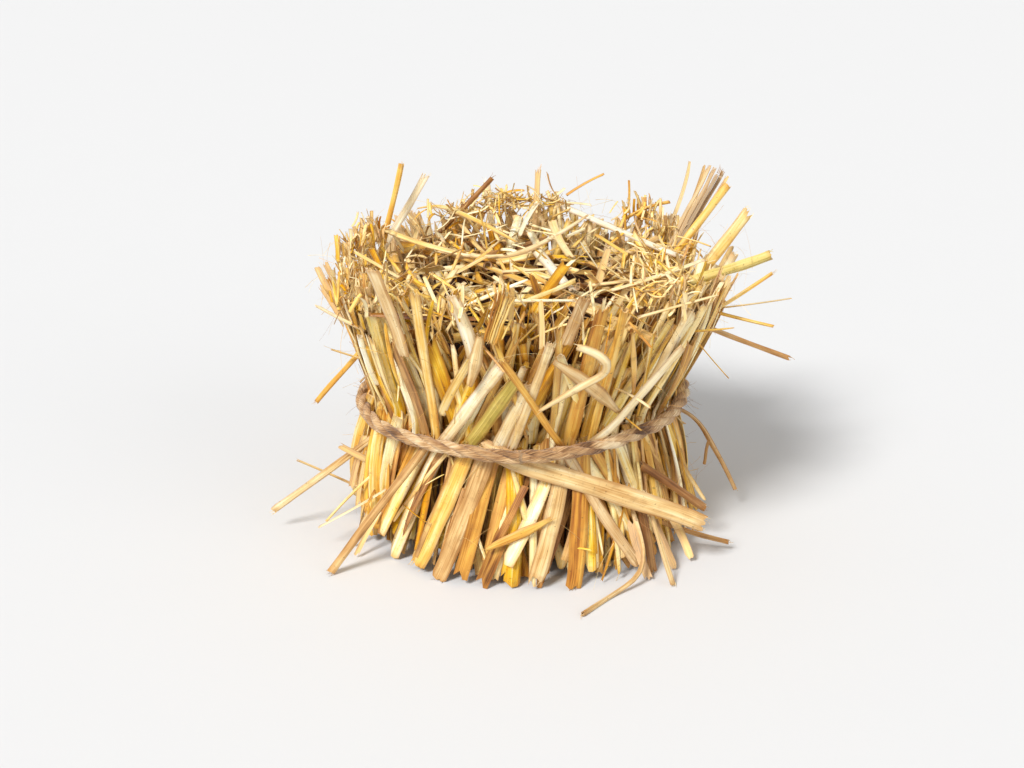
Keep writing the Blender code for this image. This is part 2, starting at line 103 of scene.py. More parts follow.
def setRamp(socket, stops):
    ramp = socket.node.color_ramp
    while len(ramp.elements) < len(stops):
        ramp.elements.new(0.5)
    for element, (place, hexColour) in zip(ramp.elements, stops):
        element.position = place
        element.color = linear(hexColour)


def newMaterial(name):
    material = bpy.data.materials.new(name)
    material.use_nodes = True
    return material, material.node_tree, material.node_tree.nodes["Principled BSDF"]


def newObject(name, data):
    obj = bpy.data.objects.new(name, data)
    bpy.context.scene.collection.objects.link(obj)
    return obj


def skinRadius(bearing, height, inset=0.0):
    away = math.hypot(height - bundle["waistHeight"], bundle["waistSoftness"]) - bundle["waistSoftness"]
    flare = bundle["rimFlare"] if height > bundle["waistHeight"] else bundle["footFlare"]
    flare += bundle["sideFlare"] * math.sin(bearing)
    return bundle["waistRadius"] + flare * away - inset


def around(bearing, radius, height):
    return Vector((radius * math.sin(bearing), -radius * math.cos(bearing), height))


# Camera at the photo's angle: 21 degrees above the table, 0.45 m from the waist.
# The waist's middle lands a little right of and under the middle of the 1024 x 768 picture.
camera = {
    "distance": 0.450,
    "elevation": 21.4,
    "focalPixels": 1485.0,
    "imageWidth": 1024.0,
    "imageHeight": 768.0,
    "waistPixel": (522.5, 390.0),
    "sensor": 36.0,
    "clip": (0.01, 20.0),
}


def makeCamera():
    rise = math.radians(camera["elevation"])
    focal = camera["focalPixels"]
    middle = Vector((0, 0, bundle["waistHeight"]))
    back = Vector((0, -math.cos(rise), math.sin(rise)))
    right = Vector((1, 0, 0))
    aim = -back
    lift = right.cross(aim)
    aim = aim - right * ((camera["waistPixel"][0] - camera["imageWidth"] / 2) / focal)
    aim = (aim + lift * ((camera["waistPixel"][1] - camera["imageHeight"] / 2) / focal)).normalized()
    data = bpy.data.cameras.new("photoCamera")
    data.sensor_width = camera["sensor"]
    data.lens = focal / camera["imageWidth"] * camera["sensor"]
    data.clip_start, data.clip_end = camera["clip"]
    obj = newObject("photoCamera", data)
    obj.location = middle + back * camera["distance"]
    obj.rotation_mode = "QUATERNION"
    obj.rotation_quaternion = aim.to_track_quat("-Z", "Y")
    bpy.context.scene.camera = obj


makeCamera()
print("camera placed")

# Straw: the cut culms and leaf blades of ripe cereal, dried, split and flattened.
# Outside it has a waxy skin with fine lengthwise veins, which gives long soft highlights.
# Broad paler and browner streaks run along it, and its thin edges look warmer; they are also painted darker,
# as painted shade in the slits between stalks.
# Inside it is pale, matt pith. Its cut and rubbed ends look browner.
# The veins are really about 0.1 mm apart, and are drawn at about 0.3 mm so that they show.
strawLook = {
    "veins": (0.30, 16.0),  # spacing across the stalk and along it, in millimetres
    "streaks": (0.9, 24.0),
    "patches": (4.0, 13.0),
    "swing": {"streaks": 0.9, "patches": 1.0, "veins": 0.7},  # how far each moves the tone
    "packedSwing": -0.6,
    "stainSize": 4.0,
    "fleckSize": 0.9,
    "ownColour": {"Saturation": (0.90, 1.20), "Hue": (0.500, 0.512), "Value": (0.98, 1.19)},
    "overlays": {  # colour, where its mask starts and is full, and how much of it then shows
        "stains": ("#8f6334", 0.55, 0.75, 0.40),
        "flecks": ("#5a3a1e", 0.69, 0.76, 0.50),
        # edges: warm, and darkened as painted shade for the slits between stalks
        "edges": ("#945a1c", 0.55, 1.00, 0.65),
        "ends": ("#b0742a", 0.45, 0.50, 0.50),
    },
    "pith": ("#f6e8c4", 0.35),
    "waxVeins": (0.3, 0.7),
    "waxRoughness": (0.36, 0.55),
    "pithRoughness": 0.25,
    "ior": 1.45,
    "bump": (0.8, 0.0003),  # strength, and depth in metres
}
strawTones = {
    "straw_pale": [(0.0, "#bd8a48"), (0.3, "#e6c283"), (0.6, "#f7e0ac"), (1.0, "#fff9e2")],
    "straw_gold": [(0.0, "#965514"), (0.3, "#d49233"), (0.6, "#edbd58"), (1.0, "#fae2a0")],
    "straw_tan": [(0.0, "#83562a"), (0.3, "#bd8d51"), (0.6, "#ddb77a"), (1.0, "#f2deb0")],
    "straw_brown": [(0.0, "#5a3211"), (0.3, "#976330"), (0.6, "#c4965a"), (1.0, "#e9cd9c")],
    "straw_green": [(0.0, "#7d6a2a"), (0.3, "#b29a3f"), (0.6, "#d0b75c"), (1.0, "#ecd992")],
    # the packed ramp's darkest stops, saturated browns, are painted shade for the stalks deep in the bundle
    "straw_packed": [
        (0.0, "#fffbe6"), (0.18, "#fbecc2"), (0.36, "#f2d69a"), (0.50, "#e9bc64"),
        (0.62, "#d9a257"), (0.76, "#b57c3e"), (0.90, "#7f481c"), (1.0, "#43200b"),
    ],
}


def strawMaterial(slot):
    material, tree, shader = newMaterial(slot + "_dried_and_split")
    look = strawLook
    calc = "ShaderNodeMath"
    grain = addNode(tree, "ShaderNodeAttribute", out="Vector", attribute_name="grain")
    share, pith, edge, tone = [addNode(tree, "ShaderNodeAttribute", out="Fac", attribute_name=name)
                               for name in ("share", "pith", "edge", "tone")]
    drawn = {}
    for name in ("veins", "streaks", "patches"):
        spacing, length = look[name]
        place = addNode(tree, "ShaderNodeMapping", {"Vector": grain, "Scale": (1 / spacing, 1 / length, 1.0)})
        drawn[name] = addNode(tree, "ShaderNodeTexNoise", {"Vector": place, "Scale": 1.0, "Detail": 2.0})

    # tone along the ramp: patches, streaks and veins lighten or darken it
    swing = -sum(look["swing"].values()) / 2
    for name, amount in look["swing"].items():
        swing = addNode(tree, calc, {0: drawn[name], 1: amount, 2: swing}, operation="MULTIPLY_ADD")
    way = look["packedSwing"] if slot == "straw_packed" else 1.0
    level = addNode(tree, calc, {0: swing, 1: way, 2: tone}, operation="MULTIPLY_ADD", use_clamp=True)
    colour = addNode(tree, "ShaderNodeValToRGB", {"Fac": level})
    setRamp(colour, strawTones[slot])

    # each packed stalk is a little greyer or yellower, and lighter or darker, than the next
    if slot == "straw_packed":
        own = addNode(tree, "ShaderNodeSeparateXYZ", {0: grain}, out=2)
        own = addNode(tree, "ShaderNodeTexWhiteNoise", {"W": own}, out=1, noise_dimensions="1D")
        changes = {"Color": colour}
        for channel, (name, (low, high)) in enumerate(look["ownColour"].items()):
            change = addNode(tree, "ShaderNodeSeparateColor", {0: own}, out=channel)
            changes[name] = addNode(tree, "ShaderNodeMapRange",
                                    {"Value": change, "To Min": low, "To Max": high})
        colour = addNode(tree, "ShaderNodeHueSaturation", changes)

    # grey-brown stains, a few dark flecks of leaf mould, warm thin edges that are also darkened as painted
    # shade between stalks, and rubbed ends
    masks = {"edges": edge}
    masks["stains"] = addNode(tree, "ShaderNodeTexNoise",
                              {"Vector": grain, "Scale": 1 / look["stainSize"], "Detail": 3.0,
                               "Roughness": 0.6})
    masks["flecks"] = addNode(tree, "ShaderNodeTexNoise",
                              {"Vector": grain, "Scale": 1 / look["fleckSize"], "Detail": 1.0})
    fromMiddle = addNode(tree, calc, {0: share, 1: 0.5}, operation="SUBTRACT")
    masks["ends"] = addNode(tree, calc, {0: fromMiddle}, operation="ABSOLUTE")
    for name, (hexColour, low, high, most) in look["overlays"].items():
        amount = addNode(tree, "ShaderNodeMapRange",
                         {"Value": masks[name], "From Min": low, "From Max": high, "To Max": most})
        colour = addNode(tree, "ShaderNodeMix", {0: amount, 6: colour, 7: linear(hexColour)},
                         out=2, data_type="RGBA")
    hexColour, paleness = look["pith"]
    inner = addNode(tree, "ShaderNodeMix", {0: paleness, 6: colour, 7: linear(hexColour)},
                    out=2, data_type="RGBA")
    colour = addNode(tree, "ShaderNodeMix", {0: pith, 6: colour, 7: inner}, out=2, data_type="RGBA")
    tree.links.new(colour, shader.inputs["Base Color"])

    # waxy outside, matt pith
    low, high = look["waxVeins"]
    least, most = look["waxRoughness"]
    rough = addNode(tree, "ShaderNodeMapRange",
                    {"Value": drawn["veins"], "From Min": low, "From Max": high,
                     "To Min": least, "To Max": most})
    rough = addNode(tree, calc, {0: pith, 1: look["pithRoughness"], 2: rough},
                    operation="MULTIPLY_ADD", use_clamp=True)
    tree.links.new(rough, shader.inputs["Roughness"])
    shader.inputs["IOR"].default_value = look["ior"]
    height = addNode(tree, calc, {0: drawn["veins"], 1: drawn["streaks"]}, operation="ADD")
    strength, depth = look["bump"]
    bump = addNode(tree, "ShaderNodeBump", {"Strength": strength, "Distance": depth, "Height": height})
    tree.links.new(bump, shader.inputs["Normal"])
    return material


strawMaterials = {slot: strawMaterial(slot) for slot in strawTones}


# Painted shade: deep inside, where no light reaches, the middle is coloured nearly black-brown to stand in
# for that shade.
shadedLook = {
    "grain": (0.9, 0.05, 1.0),
    "tones": [(0.35, "#1e0c05"), (0.52, "#46220c"), (0.66, "#753f14")],
    "roughness": 0.8,
    "bumpDepth": 0.0008,
}


def shadedStrawMaterial():
    material, tree, shader = newMaterial("packed_straw_deep_in_shade")
    look = shadedLook
    grain = addNode(tree, "ShaderNodeAttribute", out="Vector", attribute_name="grain")
    place = addNode(tree, "ShaderNodeMapping", {"Vector": grain, "Scale": look["grain"]})
    stalks = addNode(tree, "ShaderNodeTexNoise", {"Vector": place, "Scale": 1.0, "Detail": 3.0})
    colour = addNode(tree, "ShaderNodeValToRGB", {"Fac": stalks})
    setRamp(colour, look["tones"])
    tree.links.new(colour, shader.inputs["Base Color"])
    shader.inputs["Roughness"].default_value = look["roughness"]
    bump = addNode(tree, "ShaderNodeBump",
                   {"Strength": 1.0, "Distance": look["bumpDepth"], "Height": stalks})
    tree.links.new(bump, shader.inputs["Normal"])
    return material


shadedStraw = shadedStrawMaterial()

# Jute: coarse bast fibre, spun in three plies. Matt and hairy, tan with paler and browner fibres.
juteLook = {
    "fibres": (3.6, 0.22, 1.0),
    "patches": 0.09,
    "range": (0.80, 1.24),
    "tones": [(0.0, "#5a3818"), (0.3, "#a37648"), (0.6, "#cfa672"), (1.0, "#f2ddb4")],
    "finish": {"Roughness": 0.85, "Sheen Weight": 0.25, "Sheen Roughness": 0.5},
    "bumpDepth": 0.0004,
}


def juteMaterial():
    material, tree, shader = newMaterial("jute_spun_in_three_plies")
    look = juteLook
    grain = addNode(tree, "ShaderNodeAttribute", out="Vector", attribute_name="grain")
    place = addNode(tree, "ShaderNodeMapping", {"Vector": grain, "Scale": look["fibres"]})
    fibres = addNode(tree, "ShaderNodeTexNoise",
                     {"Vector": place, "Scale": 1.0, "Detail": 4.0, "Roughness": 0.65})
    patches = addNode(tree, "ShaderNodeTexNoise",
                      {"Vector": grain, "Scale": look["patches"], "Detail": 2.0})
    mixed = addNode(tree, "ShaderNodeMath", {0: fibres, 1: patches}, operation="ADD")
    low, high = look["range"]
    mixed = addNode(tree, "ShaderNodeMapRange", {"Value": mixed, "From Min": low, "From Max": high})
    colour = addNode(tree, "ShaderNodeValToRGB", {"Fac": mixed})
    setRamp(colour, look["tones"])
    tree.links.new(colour, shader.inputs["Base Color"])
    for name, value in look["finish"].items():
        shader.inputs[name].default_value = value
    bump = addNode(tree, "ShaderNodeBump",
                   {"Strength": 1.0, "Distance": look["bumpDepth"], "Height": fibres})
    tree.links.new(bump, shader.inputs["Normal"])
    return material


jute = juteMaterial()
print("materials made")


# the parts of a mesh before it is made: corners and faces, and what the materials read at
# each corner: grain (across, along), share of the length, pith, nearness to an edge, and tone
def emptyParts():
    return {key: [] for key in ("corners", "faces", "grain", "share", "pith", "edge", "tone")}


def addCorner(parts, corner, grain, share=0.5, pith=0.0, edge=0.0):
    parts["corners"].append(corner)
    parts["grain"].append(grain)
    parts["share"].append(share)
    parts["pith"].append(pith)
    parts["edge"].append(edge)


# faces between rings of corners one after another; a closed run goes on to its first ring
def joinRings(parts, start, rings, count, closed=False):
    for k in range(rings if closed else rings - 1):
        here = start + k * count
        there = start + (k + 1) % rings * count
        for n in range(count):
            after = (n + 1) % count
            parts["faces"].append((here + n, here + after, there + after, there + n))


def capEnds(parts, start, rings, count):
    last = start + (rings - 1) * count
    parts["faces"].append(tuple(range(start, start + count)))
    parts["faces"].append(tuple(range(last, last + count)))


# the way that a path of vectors goes at one of its points
def directionAt(path, k, closed=False):
    before = path[k - 1] if closed or k else path[0]
    after = path[(k + 1) % len(path)] if closed or k < len(path) - 1 else path[-1]
    return (after - before).normalized()


grainShift = 0.4  # metres: each stalk starts up to so far on in the grain


# gives a part its own tone along the ramp, and its own place in the grain
def tinted(parts, tone, chance):
    shift = chance.uniform(0, grainShift)
    parts["tone"] = [tone] * len(parts["corners"])
    parts["grain"] = [(across + shift, along + shift, 0.0) for across, along, zero in parts["grain"]]
    return parts


# Stalk forms. Each gives a closed outline round the stalk, as (across, outwards) in half
# widths, and says which of its points are pith.
outlineLook = {"edgeThinning": 0.6, "underWidth": 0.97, "uneven": 0.05}


def flatOutline(columns, look, thickness, chance):
    top = []
    under = []
    for k in range(columns):
        x = -1 + 2 * k / (columns - 1)
        dish = look["curl"] * (1 - x * x) - look["curl"] * 0.5
        ridge = chance.uniform(-1, 1) * look["veins"]
        wall = thickness * (1 - outlineLook["edgeThinning"] * x ** 4)
        top.append((x, dish + wall + ridge))
        under.append((x * outlineLook["underWidth"], dish - wall))
    return top + under[::-1], [0.0] * columns + [1.0] * columns


def roundOutline(columns, look, chance):
    turn = chance.uniform(0, math.tau)
    outline = []
    for k in range(columns):
        angle = turn + math.tau * k / columns
        reach = 1 + chance.uniform(-outlineLook["uneven"], outlineLook["uneven"])
        outline.append((math.cos(angle) * reach, math.sin(angle) * reach * look["squash"]))
    return outline, [0.0] * columns


tearLook = {
    "outwards": 0.7, "splitDepths": (0.5, 1.6),
    "fade": (3, 2), "fadeShare": 0.45,  # an end's tears fade over so many split depths and tears
    "grainTurn": 4,
}


# Skins a stalk along its stations, each (middle, across, out, half width). Both ends are
# torn: each lengthwise strip stops at its own place, and a few are split back further.
def stalkParts(stations, look, chance):
    isRound = look["form"] == "round"
    columns = look["columns"]
    meanHalf = sum(station[3] for station in stations) / len(stations)
    if isRound:
        outline, pith = roundOutline(columns, look, chance)
    else:
        outline, pith = flatOutline(columns, look, look["wall"] / meanHalf / 2, chance)
    count = len(outline)
    lengths = [0.0]
    for before, after in zip(stations, stations[1:]):
        lengths.append(lengths[-1] + (after[0] - before[0]).length)
    whole = lengths[-1]
    tears = []
    for end in range(2):
        strips = [chance.uniform(-1, tearLook["outwards"]) * look["tear"] * meanHalf
                  for k in range(columns)]
        for split in range(look["splits"]):
            strips[chance.randrange(columns)] = -chance.uniform(*tearLook["splitDepths"]) * look["splitDepth"]
        tears.append(strips if isRound else strips + strips[::-1])
    perSplit, perTear = tearLook["fade"]
    fade = min(whole * tearLook["fadeShare"],
               perSplit * look["splitDepth"] + perTear * look["tear"] * meanHalf)
    last = len(stations) - 1
    parts = emptyParts()
    for k, (middle, across, out, half) in enumerate(stations):
        along = across.cross(out)
        nearStart = max(0.0, 1 - lengths[k] / fade)
        nearEnd = max(0.0, 1 - (whole - lengths[k]) / fade)
        for n, (u, v) in enumerate(outline):
            shift = tears[1][n] * nearEnd - tears[0][n] * nearStart
            corner = middle + across * (u * half) + out * (v * half) + along * shift
            turn = n / count * tearLook["grainTurn"] if isRound else u
            grain = (turn * meanHalf, lengths[k] + shift, 0.0)
            addCorner(parts, corner, grain, lengths[k] / whole, pith[n], 0.0 if isRound else abs(u))
    joinRings(parts, 0, len(stations), count)
    for station, start, sign in ((stations[0], 0, -1), (stations[-1], last * count, 1)):
        if isRound:
            addBore(parts, start, count, station, sign, look)
        else:
            for n in range(columns - 1):
                parts["faces"].append((start + n, start + count - 1 - n,
                                       start + count - 2 - n, start + n + 1))
    return parts


boreTaper = 0.94


# the hollow of a round culm: its cut lip, a short bore and the pith at the bottom
def addBore(parts, start, count, station, sign, look):
    middle, across, out, half = station
    along = across.cross(out) * sign
    before = list(range(start, start + count))
    for inset, depth in ((look["bore"], 0.0), (look["bore"] * boreTaper, look["boreDepth"] * half)):
        ring = []
        for n in range(count):
            lip = middle + (parts["corners"][start + n] - middle) * inset
            ring.append(len(parts["corners"]))
            addCorner(parts, lip - along * depth, parts["grain"][start + n],
                      parts["share"][start + n], pith=1.0)
        for n in range(count):
            after = (n + 1) % count
            parts["faces"].append((before[n], before[after], ring[after], ring[n]))
        before = ring
    parts["faces"].append(tuple(before))


fibreLook = {"sides": 4, "grainStep": 2, "pith": 0.3}


# a thin tapering splinter or fibre through some points
def fibreParts(points, half, tipShare):
    parts = emptyParts()
    sides = fibreLook["sides"]
    last = len(points) - 1
    for k, point in enumerate(points):
        along = directionAt(points, k)
        side = along.orthogonal().normalized()
        lift = along.cross(side)
        radius = half * (1 - (1 - tipShare) * k / last)
        for n in range(sides):
            angle = math.tau * n / sides
            corner = point + side * (math.cos(angle) * radius) + lift * (math.sin(angle) * radius)
            grain = (n * radius, k * fibreLook["grainStep"] * mm, 0.0)
            addCorner(parts, corner, grain, pith=fibreLook["pith"])
    joinRings(parts, 0, len(points), sides)
    capEnds(parts, 0, len(points), sides)
    return parts


def joinParts(several):
    joined = emptyParts()
    for parts in several:
        start = len(joined["corners"])
        joined["faces"] += [tuple(start + index for index in face) for face in parts["faces"]]
        for key in parts:
            if key != "faces":
                joined[key] += parts[key]
    return joined


# makes a mesh object of the parts, with its faces turned outwards
def stalkObject(name, parts, material, grainUnit=mm):
    mesh = bpy.data.meshes.new(name)
    if material:
        for corner in parts["corners"]:
            corner.z = max(corner.z, lowest)
    mesh.from_pydata(parts["corners"], [], parts["faces"])
    work = bmesh.new()
    work.from_mesh(mesh)
    bmesh.ops.recalc_face_normals(work, faces=work.faces)
    work.to_mesh(mesh)
    work.free()
    grain = np.array(parts["grain"], dtype=np.float32) / grainUnit
    mesh.attributes.new("grain", "FLOAT_VECTOR", "POINT").data.foreach_set("vector", grain.ravel())
    fields = {key: parts[key] for key in ("share", "pith", "edge")}
    if material or parts["tone"]:  # a variant has none of its own, so each placed stalk brings one
        fields["tone"] = parts["tone"] or [0.5] * len(grain)
    for key, values in fields.items():
        values = np.array(values, dtype=np.float32)
        mesh.attributes.new(key, "FLOAT", "POINT").data.foreach_set("value", values)
    if material:
        mesh.materials.append(material)
    mesh.shade_smooth()
    mesh.set_sharp_from_angle(angle=sharpAngle)
    return newObject(name, mesh)


# Reads the route of a stalk back from its CAD solid. A walk over its edges from one end gives
# a rough line, and flat cuts across that line give the stations, each
# (middle, across, out, half width, half thickness). At a fork the straighter branch is kept.
routeLook = {
    "roughSpacing": 6.0, "sectionSpacing": 3.0, "stationSpacing": 1.6,  # in millimetres, as below
    "endMargin": 1.3,
    "straightReach": 5.5, "straightCuts": 9, "straightWiden": 1.3, "straightSpare": 1.0,
    "slices": (0.18, 0.82), "leastSpread": 1.2, "leastReach": 1.4, "reach": 1.45,
    "fewestCuts": 4, "strayReach": 2, "facingUp": 0.03,
    "smoothing": 2, "waves": (0.5, 1.0), "liftShare": 0.6, "swell": 0.05, "swellWaves": 2.3,
}


def meshGraph(mesh):
    places = {}
    which = [places.setdefault(tuple(round(c, 6) for c in v.co), len(places)) for v in mesh.vertices]
    points = np.array(list(places))
    edges = sorted({tuple(sorted((which[a], which[b]))) for a, b in mesh.edge_keys})
    edges = [edge for edge in edges if edge[0] != edge[1]]
    near = [[] for point in points]
    for a, b in edges:
        step = float(np.linalg.norm(points[a] - points[b]))
        near[a].append((step, b))
        near[b].append((step, a))
    return points, np.array(edges), near


def walkFrom(start, near):
    away = np.full(len(near), 1e9)
    away[start] = 0.0
    heap = [(0.0, start)]
    while heap:
        reached, at = heapq.heappop(heap)
        if reached > away[at]:
            continue
        for step, other in near[at]:
            if reached + step < away[other]:
                away[other] = reached + step
                heapq.heappush(heap, (reached + step, other))
    return away


# the unit vector from one point to another
def heading(start, end):
    return (end - start) / np.linalg.norm(end - start)


# where the edges cross the zero of a value given at every point
def crossings(points, edges, values):
    before = values[edges[:, 0]]
    after = values[edges[:, 1]]
    crossed = before * after < 0
    share = (before / (before - after + 1e-15))[crossed][:, None]
    return points[edges[crossed, 0]] * (1 - share) + points[edges[crossed, 1]] * share


# A straight stalk's line is its long axis, and a curled one's is the middles of slices at
# even walks from its end
def roughLine(points, edges, near):
    centre = points.mean(0)
    axis = np.linalg.svd(points - centre, full_matrices=False)[2][0]
    along = (points - centre) @ axis
    aside = float(np.linalg.norm(points - centre - np.outer(along, axis), axis=1).max())
    if aside < routeLook["straightReach"] * mm:
        spots = np.linspace(along.min(), along.max(), routeLook["straightCuts"])[1:-1]
        reach = aside * routeLook["straightWiden"] + routeLook["straightSpare"] * mm
        return centre + np.outer(spots, axis), reach
    away = walkFrom(int(np.argmax(walkFrom(0, near))), near)
    whole = float(away.max())
    count = max(3, round(whole / (routeLook["roughSpacing"] * mm)))
    slices = []
    for share in np.linspace(*routeLook["slices"], count):
        cuts = crossings(points, edges, away - whole * share)
        if len(slices) > 1:
            ahead = slices[-1].mean(0) * 2 - slices[-2].mean(0)
            spread = np.linalg.norm(slices[-1] - slices[-1].mean(0), axis=1).max()
            reach = max(spread, routeLook["leastSpread"] * mm)
            kept = cuts[np.linalg.norm(cuts - ahead, axis=1) < reach * routeLook["strayReach"]]
            cuts = kept if len(kept) >= routeLook["fewestCuts"] else cuts
        slices.append(cuts)
    spread = np.median([np.linalg.norm(cuts - cuts.mean(0), axis=1).max() for cuts in slices])
    reach = max(float(spread) * routeLook["reach"], routeLook["leastReach"] * mm)
    return np.array([cuts.mean(0) for cuts in slices]), reach


# how far the solid goes on past the end of a line, straight ahead
def goesOn(points, last, before, reach):
    ahead = heading(before, last)
    along = (points - last) @ ahead
    aside = np.linalg.norm(points - last - np.outer(along, ahead), axis=1)
    inLine = along[(aside < reach) & (along > -reach)]
    return ahead, max(float(inLine.max()) if len(inLine) else 0.0, 0.0)


# the same line with even spacing; its first three columns are the place
def evenLine(line, spacing, least=3):
    steps = np.linalg.norm(np.diff(line[:, :3], axis=0), axis=1)
    lengths = np.concatenate([[0.0], np.cumsum(steps)])
    count = max(least, round(lengths[-1] / spacing))
    wanted = np.linspace(0, lengths[-1], count + 1)
    return np.stack([np.interp(wanted, lengths, line[:, n]) for n in range(line.shape[1])], axis=1)


def sectionsAlong(points, edges, line, reach):
    stations = []
    for k, place in enumerate(line):
        along = heading(line[max(k - 1, 0)], line[min(k + 1, len(line) - 1)])
        cuts = crossings(points, edges, (points - place) @ along)
        cuts = cuts[np.linalg.norm(cuts - place, axis=1) < reach]
        if len(cuts) < routeLook["fewestCuts"]:
            continue
        flat = cuts - cuts.mean(0)
        across = np.linalg.svd(flat, full_matrices=False)[2][0]
        across = across - along * (across @ along)
        across = across / np.linalg.norm(across)
        if stations and across @ stations[-1][1] < 0:
            across = -across
        out = np.cross(along, across)
        wide = flat @ across
        thick = flat @ out
        middle = (cuts.mean(0) + across * (wide.max() + wide.min()) / 2
                  + out * (thick.max() + thick.min()) / 2)
        stations.append((middle, across, out, (wide.max() - wide.min()) / 2,
                         (thick.max() - thick.min()) / 2))
    return stations


def routeOf(node):
    points, edges, near = meshGraph(nodes[node].data)
    line, reach = roughLine(points, edges, near)
    margin = routeLook["endMargin"] * mm
    ahead, more = goesOn(points, line[-1], line[-2], reach)
    behind, less = goesOn(points, line[0], line[1], reach)
    line = np.vstack([line[0] + behind * max(less - margin, 0), line,
                      line[-1] + ahead * max(more - margin, 0)])
    for turn in range(2):
        line = evenLine(line, routeLook["sectionSpacing"] * mm)
        stations = sectionsAlong(points, edges, line, reach)
        line = np.array([station[0] for station in stations])
    first, last = stations[0], stations[-1]
    start = first[0] + heading(line[1], line[0]) * margin
    end = last[0] + heading(line[-2], line[-1]) * margin
    stations = [(start, *first[1:])] + stations + [(end, *last[1:])]
    facing = sum(out @ np.array([*middle[:2], routeLook["facingUp"]])
                 for middle, across, out, half, thick in stations)
    if facing < 0:
        stations = [(middle, -across, -out, half, thick) for middle, across, out, half, thick in stations]
    return stations


# a finer route through the stations, with the small turns and swells of a real stalk
def naturalRoute(stations, look, chance):
    keys = np.array([[*middle, *across, half] for middle, across, out, half, thick in stations])
    for smoothing in range(routeLook["smoothing"]):
        keys[1:-1] = keys[1:-1] * 0.5 + (keys[:-2] + keys[2:]) * 0.25
    keys = evenLine(keys, routeLook["stationSpacing"] * mm, least=8)
    count = len(keys) - 1
    phase = [chance.uniform(0, math.tau) for wave in range(4)]
    waves = chance.uniform(*routeLook["waves"])
    twist = chance.uniform(-1, 1) * math.radians(look["twist"])
    route = []
    for k, key in enumerate(keys):
        share = k / count
        along = Vector(keys[min(k + 1, count)][:3] - keys[max(k - 1, 0)][:3]).normalized()
        across = Vector(key[3:6])
        across = (across - along * across.dot(along)).normalized()
        across = Matrix.Rotation(twist * (share - 0.5), 3, along) @ across
        out = along.cross(across)
        sway = math.sin(math.tau * waves * share + phase[0]) * look["sway"] * mm
        lift = math.sin(math.tau * waves * share + phase[1]) * look["sway"] * routeLook["liftShare"] * mm
        swell = 1 + routeLook["swell"] * math.sin(math.tau * routeLook["swellWaves"] * share + phase[2])
        route.append((Vector(key[:3]) + across * sway + out * lift, across, out, key[6] * swell))
    return route


# Stalks under the twine are kicked outwards at their feet, apart from those that lean. A stalk
# that stops on the wall just short of the twine is carried on under it.
footKick = 2.2 * mm
leaningStalks = ("lower_broad_straw", "lower_left_stray", "lower_brown_slant")
tuck = {"height": 10.0, "off": 7.0, "under": 44.4, "past": 0.5, "steps": 3}
taperShare = 0.75  # an end narrower than this share of the middle is a tip


def spreadFoot(stations):
    spread = []
    for middle, across, out, half, thick in stations:
        radius = math.hypot(middle[0], middle[1])
        kick = footKick * max(0.0, 1 - middle[2] / bundle["waistHeight"])
        place = middle.copy()
        place[:2] *= (radius + kick) / radius
        spread.append((place, across, out, half, thick))
    return spread


def tuckedUnderTwine(stations):
    for turn in range(2):
        stations = stations[::-1]  # each end in turn
        middle, across, out, half, thick = stations[-1]
        ahead = heading(stations[-3][0], middle)
        drop = bundle["waistHeight"] - middle[2]
        bearing = math.atan2(middle[0], -middle[1])
        off = abs(math.hypot(middle[0], middle[1]) - skinRadius(bearing, middle[2]))
        if abs(drop) > tuck["height"] * mm or off > tuck["off"] * mm or drop * ahead[2] <= 0:
            continue
        if stations[-2][3] < stations[len(stations) // 2][3] * taperShare:
            continue
        whole = (drop + math.copysign(tuck["past"] * mm, drop)) / ahead[2]
        radius = math.hypot(middle[0], middle[1])
        stations = stations[:-1]
        for k in range(1, tuck["steps"] + 1):
            share = k / tuck["steps"]
            place = middle + ahead * whole * share
            drawnIn = radius + (tuck["under"] * mm - radius) * share
            place[:2] *= drawnIn / math.hypot(place[0], place[1])
            stations.append((place, across, out, half, thick))
    return stations


# thin splinters that stand off the torn ends of a stalk
frayLook = {
    "aside": 0.95, "reach": (0.4, 1.8), "leanAcross": 0.5, "leanOut": (-0.15, 0.45), "raised": 0.1,
    "radius": (0.07, 0.16), "tipShare": 0.35,
}


def frayParts(route, look, chance):
    fray = frayLook
    several = []
    for station, inner in ((route[0], route[1]), (route[-1], route[-2])):
        middle, across, out, half = station
        ahead = (middle - inner[0]).normalized()
        for number in range(look["frays"]):
            aside = across * (chance.uniform(-fray["aside"], fray["aside"]) * half)
            reach = chance.uniform(*fray["reach"]) * mm
            lean = across * chance.uniform(-fray["leanAcross"], fray["leanAcross"])
            lean = lean + out * chance.uniform(*fray["leanOut"])
            edge = middle + aside
            points = [edge - ahead * look["splitDepth"], edge + out * fray["raised"] * mm,
                      edge + (ahead + lean * 0.5) * reach * 0.5, edge + (ahead + lean) * reach]
            radius = chance.uniform(*fray["radius"]) * mm
            several.append(fibreParts(points, radius, fray["tipShare"]))
    return several


